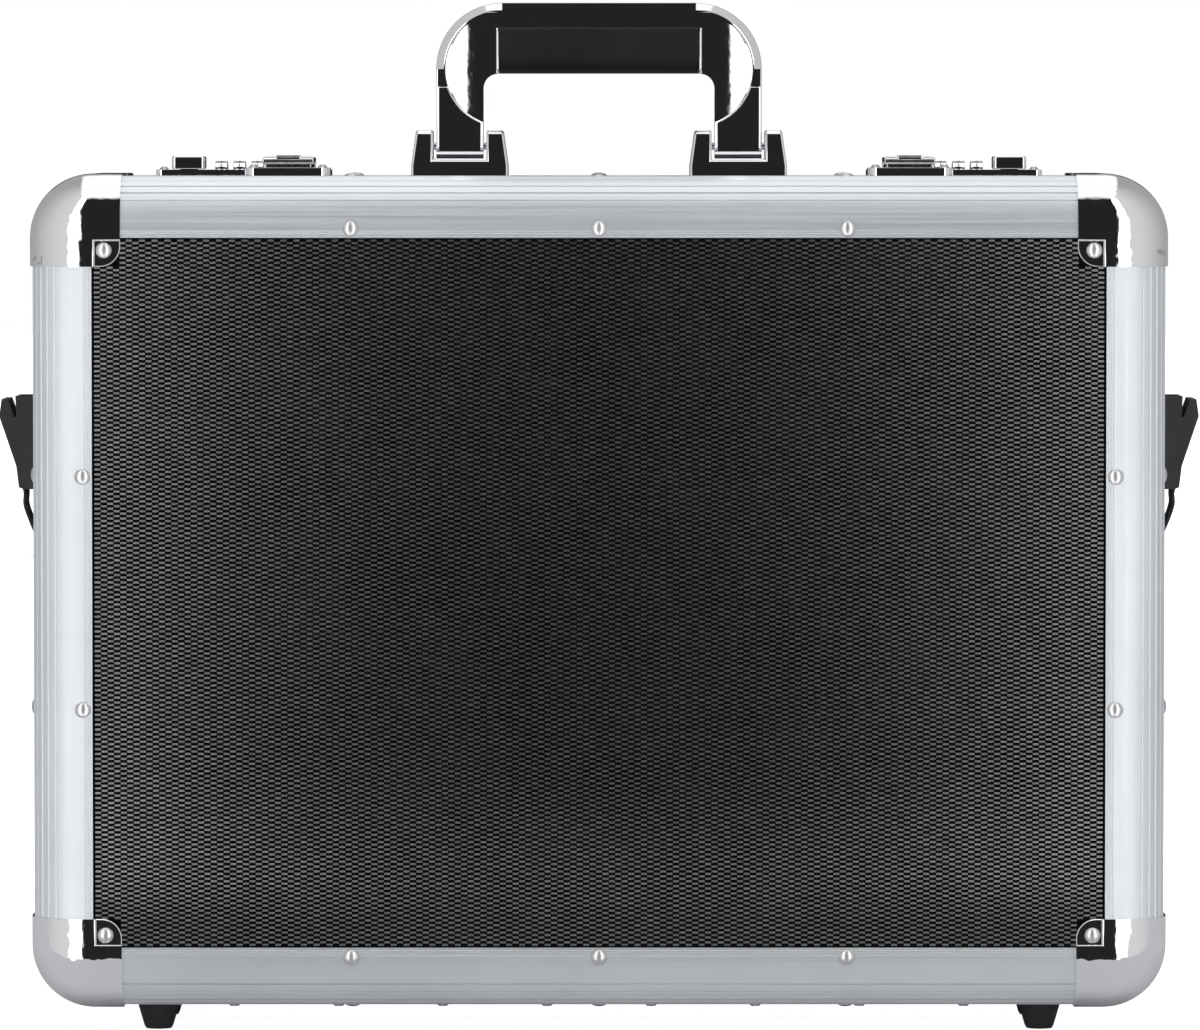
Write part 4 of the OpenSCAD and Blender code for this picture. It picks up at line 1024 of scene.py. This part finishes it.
def wheel_numbers(node, name):
    low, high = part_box(node)
    centre = (low + high) / 2
    radius = (high.z - low.z) / 2
    bm = bmesh.new()
    for digit in range(10):
        mesh = flat_digit(digit)
        start = len(bm.verts)
        bm.from_mesh(mesh)
        bpy.data.meshes.remove(mesh)
        bm.verts.ensure_lookup_table()
        edges = {e for v in bm.verts[start:] for e in v.link_edges}
        edges = [e for e in edges if e.calc_length() > LONG_STROKE]
        bmesh.ops.subdivide_edges(bm, edges=edges, cuts=2)
        bm.verts.ensure_lookup_table()
        for v in bm.verts[start:]:
            a = math.radians(36 * digit + DIGIT_TURN) + v.co.y / radius
            r = radius + INK
            v.co = Vector((centre.x + v.co.x, centre.y - r * math.cos(a), centre.z + r * math.sin(a)))
    bmesh.ops.triangulate(bm, faces=bm.faces)
    for face in bm.faces:
        out = face.calc_center_median() - centre
        if face.normal.dot(Vector((0, out.y, out.z))) < 0:
            face.normal_flip()
    mesh = bpy.data.meshes.new(name)
    bm.to_mesh(mesh)
    bm.free()
    mesh.materials.append(number_ink)
    obj = in_scene(name, mesh)
    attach(obj, BODY_OF[node])
    return obj


for side in ("left", "right"):
    for i in (1, 2, 3):
        digits = wheel_numbers(f"dial_{side}_{i}", f"wheel_numbers_{side}_{i}")
        print(digits.name, "faces", len(digits.data.polygons))

# %% [markdown]
# ## The webbing tabs of the strap buckles
# A strip of woven webbing goes round the buckle's bar, comes back on itself and is riveted and sewn to the
# side board. Above the seam the two layers part and the outer one bows out, as stiff webbing does. The
# strip is a loft along its middle line. Cloth simulation isn't used: the strip is short, held at both ends
# and keeps its shape, so a fitted curve is the truer model.


# %% Webbing finish
YARN_PITCH = 1.15 * MM


def webbing_finish():
    f = Finish("black_webbing")
    _, y, z = f.axes(f.coords())
    warp = f.calc("SINE", f.calc("MULTIPLY", y, math.pi / YARN_PITCH))
    weft = f.calc("COSINE", f.calc("MULTIPLY", z, 1.3 * math.pi / YARN_PITCH))
    cross = f.calc("ABSOLUTE", f.calc("MULTIPLY", warp, weft))
    yarn = f.noise(f.coords((1, 1, 0.25)), 6000.0, 3.0, 0.6)
    height = f.calc("ADD", cross, f.calc("MULTIPLY", yarn, 0.35))
    f.set(Base_Color=f.tint(height, (0.008, 0.008, 0.011), (0.030, 0.030, 0.037)))
    f.set(Roughness=f.spread(yarn, 0.72, 0.92), Normal=f.bump(height, 0.9, 0.22 * MM), Sheen_Weight=0.12)
    return f.material


webbing = webbing_finish()
print("yarn pitch", round(YARN_PITCH / MM, 2))

# %% Webbing strips
BAR_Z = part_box("strap_buckle_left")[0].z + 2.4 * MM
WEBBING_HALF_W = 10 * MM - 0.2 * MM
LOOP_R = 2.7 * MM
SECTION_SIDE = ((-1, 0.0), (-0.985, 0.7), (-0.95, 1.0), (-0.5, 1.0), (0, 1.0), (0.5, 1.0), (0.95, 1.0),
                (0.985, 0.7))


def smooth_path(points, steps=8):
    """Catmull-Rom through the points."""
    points = [Vector(p) for p in points]
    points = [2 * points[0] - points[1]] + points + [2 * points[-1] - points[-2]]
    path = []
    for a, b, c, d in zip(points, points[1:], points[2:], points[3:]):
        for i in range(steps):
            t = i / steps
            path.append(0.5 * (2 * b + (c - a) * t + (2 * a - 5 * b + 4 * c - d) * t * t +
                               (3 * b - a - 3 * c + d) * t ** 3))
    return path + [points[-2]]


def strip_points():
    """The strip's middle line as (outward from the case's middle, height)."""
    bar_x, bar_z = SIDE_X + 4.6 * MM, BAR_Z
    wall_x = SIDE_X - SKIN_T
    end = STRAP_RIVET_Z - 10 * MM
    half = WEBBING_T / 2
    line = [(wall_x + half, end), (wall_x + half, end + 6 * MM), (wall_x + half, bar_z - 22 * MM),
            (wall_x + 1.3 * MM, bar_z - 17 * MM), (bar_x - 2.9 * MM, bar_z - 9 * MM),
            (bar_x - 3.0 * MM, bar_z - 4 * MM)]
    for i in range(7):
        a = math.pi - i * math.pi / 6
        line.append((bar_x + LOOP_R * math.cos(a), bar_z + LOOP_R * math.sin(a)))
    outer = wall_x + 3 * half
    line += [(bar_x + 1.75 * MM, bar_z - 4 * MM), (bar_x + 1.8 * MM, bar_z - 9 * MM),
             (wall_x + 5.6 * MM, bar_z - 16 * MM), (wall_x + 3.0 * MM, bar_z - 22 * MM),
             (outer, bar_z - 26 * MM), (outer, end + 6 * MM), (outer, end)]
    return line


def webbing_strip(side):
    path = smooth_path([(x, 0, z) for x, z in strip_points()])
    thick = WEBBING_T / 2 - 0.04 * MM
    section = SECTION_SIDE + tuple((-y, -h) for y, h in SECTION_SIDE)
    rings = []
    for i, p in enumerate(path):
        t = (path[min(i + 1, len(path) - 1)] - path[max(i - 1, 0)]).normalized()
        n = Vector((t.z, 0, -t.x))
        ring = []
        for y, h in section:
            q = p + n * h * thick
            ring.append(Vector((side * q.x, STRAP_Y + y * WEBBING_HALF_W, q.z)))
        rings.append(ring)
    return loft(rings)


strips = joined(webbing_strip(-1), webbing_strip(1))
print("strip points", len(strips[0]))

# %% [markdown]
# ## The stitches
# A box of short bars of thread round the rivet sews the two layers together, and one thread end is left
# loose. Each bar is a little loft that thins at its ends, so it looks pulled into the cloth. They are few,
# so a plain loop lays them out.

# %% Stitches
STITCH_BOX = [(-7.5, -8.0), (7.5, -8.0), (7.5, 8.0), (-7.5, 8.0), (-7.5, -8.0)]
STITCH_PITCH = 2.0
STITCH_SHARE = (0.14, 0.86)
THREAD_HALF, THREAD_RISE = 0.28 * MM, 0.26 * MM


def stitch_rows(side):
    """Small bars of thread on the outer layer: a box round the rivet."""
    points, faces = [], []
    for (y0, z0), (y1, z1) in zip(STITCH_BOX, STITCH_BOX[1:]):
        count = int(max(abs(y1 - y0), abs(z1 - z0)) / STITCH_PITCH)
        for k in range(count):
            a, b = ((k + share) / count for share in STITCH_SHARE)
            start = Vector((0, y0 + (y1 - y0) * a, z0 + (z1 - z0) * a)) * MM
            stop = Vector((0, y0 + (y1 - y0) * b, z0 + (z1 - z0) * b)) * MM
            flank = Vector((1, 0, 0)).cross((stop - start).normalized()) * THREAD_HALF
            rings = []
            for t, w in ((0, 0.35), (0.25, 1.0), (0.75, 1.0), (1, 0.35)):
                c, side_of, top = start.lerp(stop, t), flank * w, Vector((THREAD_RISE * w, 0, 0))
                ring = [c + side_of, c + side_of * 0.6 + top, c - side_of * 0.6 + top, c - side_of]
                rings.append([Vector((side * (STRAP_RIVET_X + p.x), STRAP_Y + p.y, STRAP_RIVET_Z + p.z))
                              for p in ring])
            points, faces = joined((points, faces), loft(rings))
    return points, faces


def loose_thread():
    start = Vector((-SIDE_X - 0.3 * MM, STRAP_Y - 9.0 * MM, STRAP_RIVET_Z + 0.4 * MM))
    rings = []
    for i in range(9):
        t = i / 8
        c = start + Vector((-4.4 * t, -1.0 * t, 1.2 * t * t)) * MM
        r = 0.22 * MM * (1 - 0.6 * t)
        turns = [k * math.pi / 3 for k in range(6)]
        rings.append([c + Vector((0, r * math.cos(a), r * math.sin(a))) for a in turns])
    return loft(rings)


strips = joined(strips, stitch_rows(-1), stitch_rows(1), loose_thread())
dress(new_piece("buckle_webbing_tabs", *strips, angle=50), "strap_tabs", webbing)
print("webbing points", len(strips[0]))

# %% [markdown]
# ## The foam inside
# The lid is lined with egg-crate foam, which grips papers and a laptop's back, and the base holds a cut tray
# with a rounded pocket. Foam is soft at its cut edges, so the tray's edges are rounded wide and its faces
# wander a little. The egg-crate's waves are real geometry, pressed out of a fine grid.


# %% Foam finish
def foam_finish(name, low, high):
    f = Finish(name)
    place = f.coords()
    cells = f.add("ShaderNodeTexVoronoi", Vector=place, Scale=900.0, out="Distance")
    big = f.noise(place, 18.0, 4.0, 0.6)
    height = f.calc("ADD", cells, f.calc("MULTIPLY", f.noise(place, 2200.0, 3.0, 0.6), 0.5))
    f.set(Base_Color=f.tint(f.spread(big, 0.0, 1.0, 0.3, 0.7), low, high), Roughness=0.95)
    f.set(Normal=f.bump(height, 0.8, 0.25 * MM), Sheen_Weight=0.2, Specular_IOR_Level=0.15)
    return f.material


foam_black = foam_finish("charcoal_foam", (0.020, 0.021, 0.023), (0.038, 0.039, 0.043))
print("foam finish", foam_black.name)

# %% Egg-crate foam
CRATE_PITCH, CRATE_RISE = 22 * MM, 7 * MM
CRATE_EDGE, CRATE_ROUND = 6 * MM, 5 * MM
CRATE_GRID = 1.9 * MM
FOAM_CLEAR = 0.3 * MM


def egg_crate(node, name):
    low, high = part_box(node)
    nx, nz = int((high.x - low.x) / CRATE_GRID), int((high.z - low.z) / CRATE_GRID)
    turn = 2 * math.pi / CRATE_PITCH

    def surface(x, z):
        side = min(x - low.x, high.x - x, z - low.z, high.z - z)
        wave = 0.5 + 0.5 * math.sin(turn * (x - low.x)) * math.sin(turn * (z - low.z))
        k = max(0.0, min(1.0, side / CRATE_EDGE))
        round_off = (1 - math.sqrt(max(0.0, 1 - (1 - k) ** 2))) * CRATE_ROUND
        return high.y - FOAM_CLEAR - CRATE_RISE * (1 - wave) * k - round_off

    points, faces = [], []
    for j in range(nz + 1):
        for i in range(nx + 1):
            x = low.x + (high.x - low.x) * i / nx
            z = low.z + (high.z - low.z) * j / nz
            points.append(Vector((x, surface(x, z), z)))
    for j in range(nz):
        for i in range(nx):
            a = j * (nx + 1) + i
            faces.append((a, a + 1, a + nx + 2, a + nx + 1))
    border = list(range(nx + 1))
    border += [j * (nx + 1) + nx for j in range(1, nz + 1)]
    border += [nz * (nx + 1) + i for i in range(nx - 1, -1, -1)]
    border += [j * (nx + 1) for j in range(nz - 1, 0, -1)]
    start = len(points)
    points += [Vector((points[k].x, low.y, points[k].z)) for k in border]
    for i in range(len(border)):
        j = (i + 1) % len(border)
        faces.append((border[i], border[j], start + j, start + i))
    faces.append(tuple(range(start, len(points))))
    obj = dress(new_piece(name, points, faces, angle=60), node, foam_black)
    return obj


crate = egg_crate("lid_foam", "lid_egg_crate_foam")
print("egg-crate faces", len(crate.data.polygons))

# %% Foam tray
TRAY_ROUND, LONG_EDGE = 2.2 * MM, 20 * MM
WANDER = 0.5 * MM
OPEN_FACE = 1 * MM


def cut_tray(node, name):
    obj = finished(node, name, foam_black, TRAY_ROUND, 4)
    bm = bmesh.new()
    bm.from_mesh(obj.data)
    long_edges = [e for e in bm.edges if e.calc_length() > LONG_EDGE]
    bmesh.ops.subdivide_edges(bm, edges=long_edges, cuts=9, use_grid_fill=True)
    low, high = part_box(node)
    for v in bm.verts:
        a = math.sin(v.co.x * 61 + v.co.z * 23) * math.sin(v.co.z * 47 - v.co.x * 19)
        if v.co.y < low.y + OPEN_FACE:
            v.co.y += WANDER * (1 + a)
    bm.to_mesh(obj.data)
    bm.free()
    return obj


tray = cut_tray("base_foam", "base_foam_tray")
print("tray faces", len(tray.data.polygons))

# %% [markdown]
# ## The painted studio
# Product photographs like this one are taken between two strip lights, under a large soft light, with the
# camera's side of the room dark. Chrome shows that room: black where it faces the camera, a white
# band where it starts to turn away, and light grey past that. The world paints this room for mirror rays
# only, by the angle of each ray: `across` is how far it turns from the camera to either side, `above` how
# far it rises from the camera, and `aside` how far it leans sideways from straight up. The camera sees
# plain white, and everything else an even, plain light.


# %% World tree
class WorldTree(Finish):
    def __init__(self):
        scene.world = bpy.data.worlds.new("studio")
        scene.world.use_nodes = True
        self.tree = scene.world.node_tree
        self.shader = self.tree.nodes["Background"]

    def past(self, angle, start, end):
        """0 below the first angle in degrees, 1 above the second, and soft between them."""
        return self.add("ShaderNodeMapRange", interpolation_type="SMOOTHSTEP", i0=angle,
                        i1=math.radians(start), i2=math.radians(end), i3=0.0, i4=1.0)

    def before(self, angle, start, end):
        return self.calc("SUBTRACT", 1.0, self.past(angle, start, end))

    def both(self, a, b):
        return self.calc("MULTIPLY", a, b)


w = WorldTree()
ray_x, ray_y, ray_z = w.axes(w.add("ShaderNodeTexCoord", out="Generated"))
toward = w.calc("MULTIPLY", ray_y, -1.0)
off_side = w.calc("ABSOLUTE", ray_x)
across = w.calc("ARCTAN2", off_side, toward)
above = w.calc("ARCTAN2", ray_z, toward)
aside = w.calc("ARCTAN2", off_side, ray_z)
print("world", scene.world.name)

# %% Painted room
ROOM_GREY, STRIP_WHITE, CEILING, DARK, PLAIN = 0.56, 3.4, 1.15, 0.018, 0.50
STRIP_FROM, STRIP_TO, STRIP_ENDS = (14, 17), (25, 31), (58, 70)
CEILING_FROM, CEILING_TO, CEILING_HALF = (52, 62), (140, 160), (14, 19)
TABLE_FROM = (22, 28)
CARD_FROM, CARD_HALF = (163, 166), (14, 22)
BRIGHT_SIDE, DIMMER_BEHIND, DIMS = 1.30, 0.60, (25, 150)

sides = w.past(across, *STRIP_FROM)
strip = w.both(w.both(sides, w.before(across, *STRIP_TO)), w.before(w.calc("ABSOLUTE", above), *STRIP_ENDS))
ceiling = w.both(w.past(above, *CEILING_FROM), w.before(above, *CEILING_TO))
ceiling = w.both(ceiling, w.before(aside, *CEILING_HALF))
table_side = w.past(w.calc("MULTIPLY", above, -1.0), *TABLE_FROM)
open_to_light = w.calc("MAXIMUM", w.calc("MAXIMUM", sides, table_side), ceiling)
no_card = w.calc("SUBTRACT", 1.0, w.both(w.past(across, *CARD_FROM),
                                         w.before(w.calc("ABSOLUTE", ray_z), *CARD_HALF)))
fall = w.calc("SUBTRACT", BRIGHT_SIDE, w.both(w.past(across, *DIMS), DIMMER_BEHIND))
room = w.both(w.both(open_to_light, fall), ROOM_GREY)
white = w.calc("MAXIMUM", w.both(strip, STRIP_WHITE), w.both(ceiling, CEILING))
mirror = w.calc("MAXIMUM", w.both(w.calc("MAXIMUM", room, white), no_card), DARK)

path = w.tree.nodes.new("ShaderNodeLightPath")
seen = w.calc("MAXIMUM", path.outputs["Is Camera Ray"], path.outputs["Is Transmission Ray"])
plain = w.calc("MAXIMUM", seen, PLAIN)
w.set(Strength=w.add("ShaderNodeMix", i0=path.outputs["Is Glossy Ray"], i2=plain, i3=mirror))
w.set(Color=(1.0, 1.0, 1.0, 1))
print("world nodes", len(w.tree.nodes))

# %% [markdown]
# ## The lamps
# One large lamp overhead and a lower one on each side light everything that isn't a mirror. They are hidden
# from mirror rays, because the painted room already holds their reflections.


# %% Lamps
def lamp(name, place, aim, size, power):
    data = bpy.data.lights.new(name, "AREA")
    data.shape = "RECTANGLE"
    data.size, data.size_y = size
    data.energy = power
    obj = in_scene(name, data)
    obj.location = place
    obj.rotation_euler = (Vector(aim) - Vector(place)).to_track_quat("-Z", "Y").to_euler()
    obj.visible_glossy = False
    return obj


MIDDLE = (0, 0, 0.18)
lamp("overhead", (0, -0.5, 2.2), MIDDLE, (2.4, 1.6), 20)
lamp("strip_left", (-1.7, -1.5, 0.7), MIDDLE, (0.6, 1.8), 9)
lamp("strip_right", (1.7, -1.5, 0.7), MIDDLE, (0.6, 1.8), 8)

# %% [markdown]
# ## The floor
# The floor is white for the camera and grey for mirror rays, so that chrome shows a grey table under it.
# It ends under the hinge, so the lid shows where it opens down past it. Ahead of that only mirror rays meet
# a table, and past the table's end chrome shows the dark room.


# %% Floor
FLOOR_FRONT, TABLE_END, FAR = -5 * MM, FACE_Y - 95 * MM, 12.0
MIRRORED_FLOOR = (0.64, 0.64, 0.65, 1)
FLOOR_GLOW = 0.94


def floor_finish():
    f = Finish("studio_floor")
    grain = f.noise(f.coords(), 3.0, 3.0, 0.5)
    path = f.tree.nodes.new("ShaderNodeLightPath")
    pale = f.tint(grain, (0.93, 0.93, 0.93), (0.96, 0.96, 0.96))
    colour = f.mix(path.outputs["Is Glossy Ray"], pale, MIRRORED_FLOOR)
    glow = f.calc("MULTIPLY", path.outputs["Is Camera Ray"], FLOOR_GLOW)
    f.set(Base_Color=colour, Roughness=0.9, Specular_IOR_Level=0.0)
    f.set(Emission_Color=(1, 1, 1, 1), Emission_Strength=glow)
    return f.material


white_floor = floor_finish()
for name, start, end in (("studio_floor", FLOOR_FRONT, FAR),
                         ("studio_table_for_mirror_rays", TABLE_END, FLOOR_FRONT)):
    rings = [[Vector((x, y, 0)) for y in (start, (start + end) / 2, end)] for x in (-FAR, 0.0, FAR)]
    obj = new_piece(name, *loft(rings, closed=False, caps=False), angle=60)
    obj.data.materials.append(white_floor)
    if name != "studio_floor":
        obj.visible_camera = obj.visible_diffuse = obj.visible_shadow = False
    print(name, "from", round(start, 3), "to", round(end, 3))

# %% [markdown]
# ## Camera
# The photograph is taken from the front with a long lens, a little above the case. The distance, the slope
# and the lens were fitted to the corners of the panel and the outline of the frame.

# %% Camera
CAMERA_DISTANCE = 3.3
CAMERA_SLOPE = math.radians(2.6)
CAMERA_AIM = Vector((0.4 * MM, FACE_Y, 210.2 * MM))
CAMERA_LENS, CAMERA_SENSOR = 245.9, 36.0
camera_data = bpy.data.cameras.new("camera")
camera_data.lens = CAMERA_LENS
camera_data.sensor_width = CAMERA_SENSOR
camera_data.clip_end = 50
camera = in_scene("camera", camera_data)
back = Vector((0, -math.cos(CAMERA_SLOPE), math.sin(CAMERA_SLOPE)))
camera.location = CAMERA_AIM + CAMERA_DISTANCE * back
camera.rotation_euler = (math.pi / 2 - CAMERA_SLOPE, 0, 0)
scene.camera = camera
scene.view_settings.view_transform = "Standard"
print("camera at", [round(c, 3) for c in camera.location])
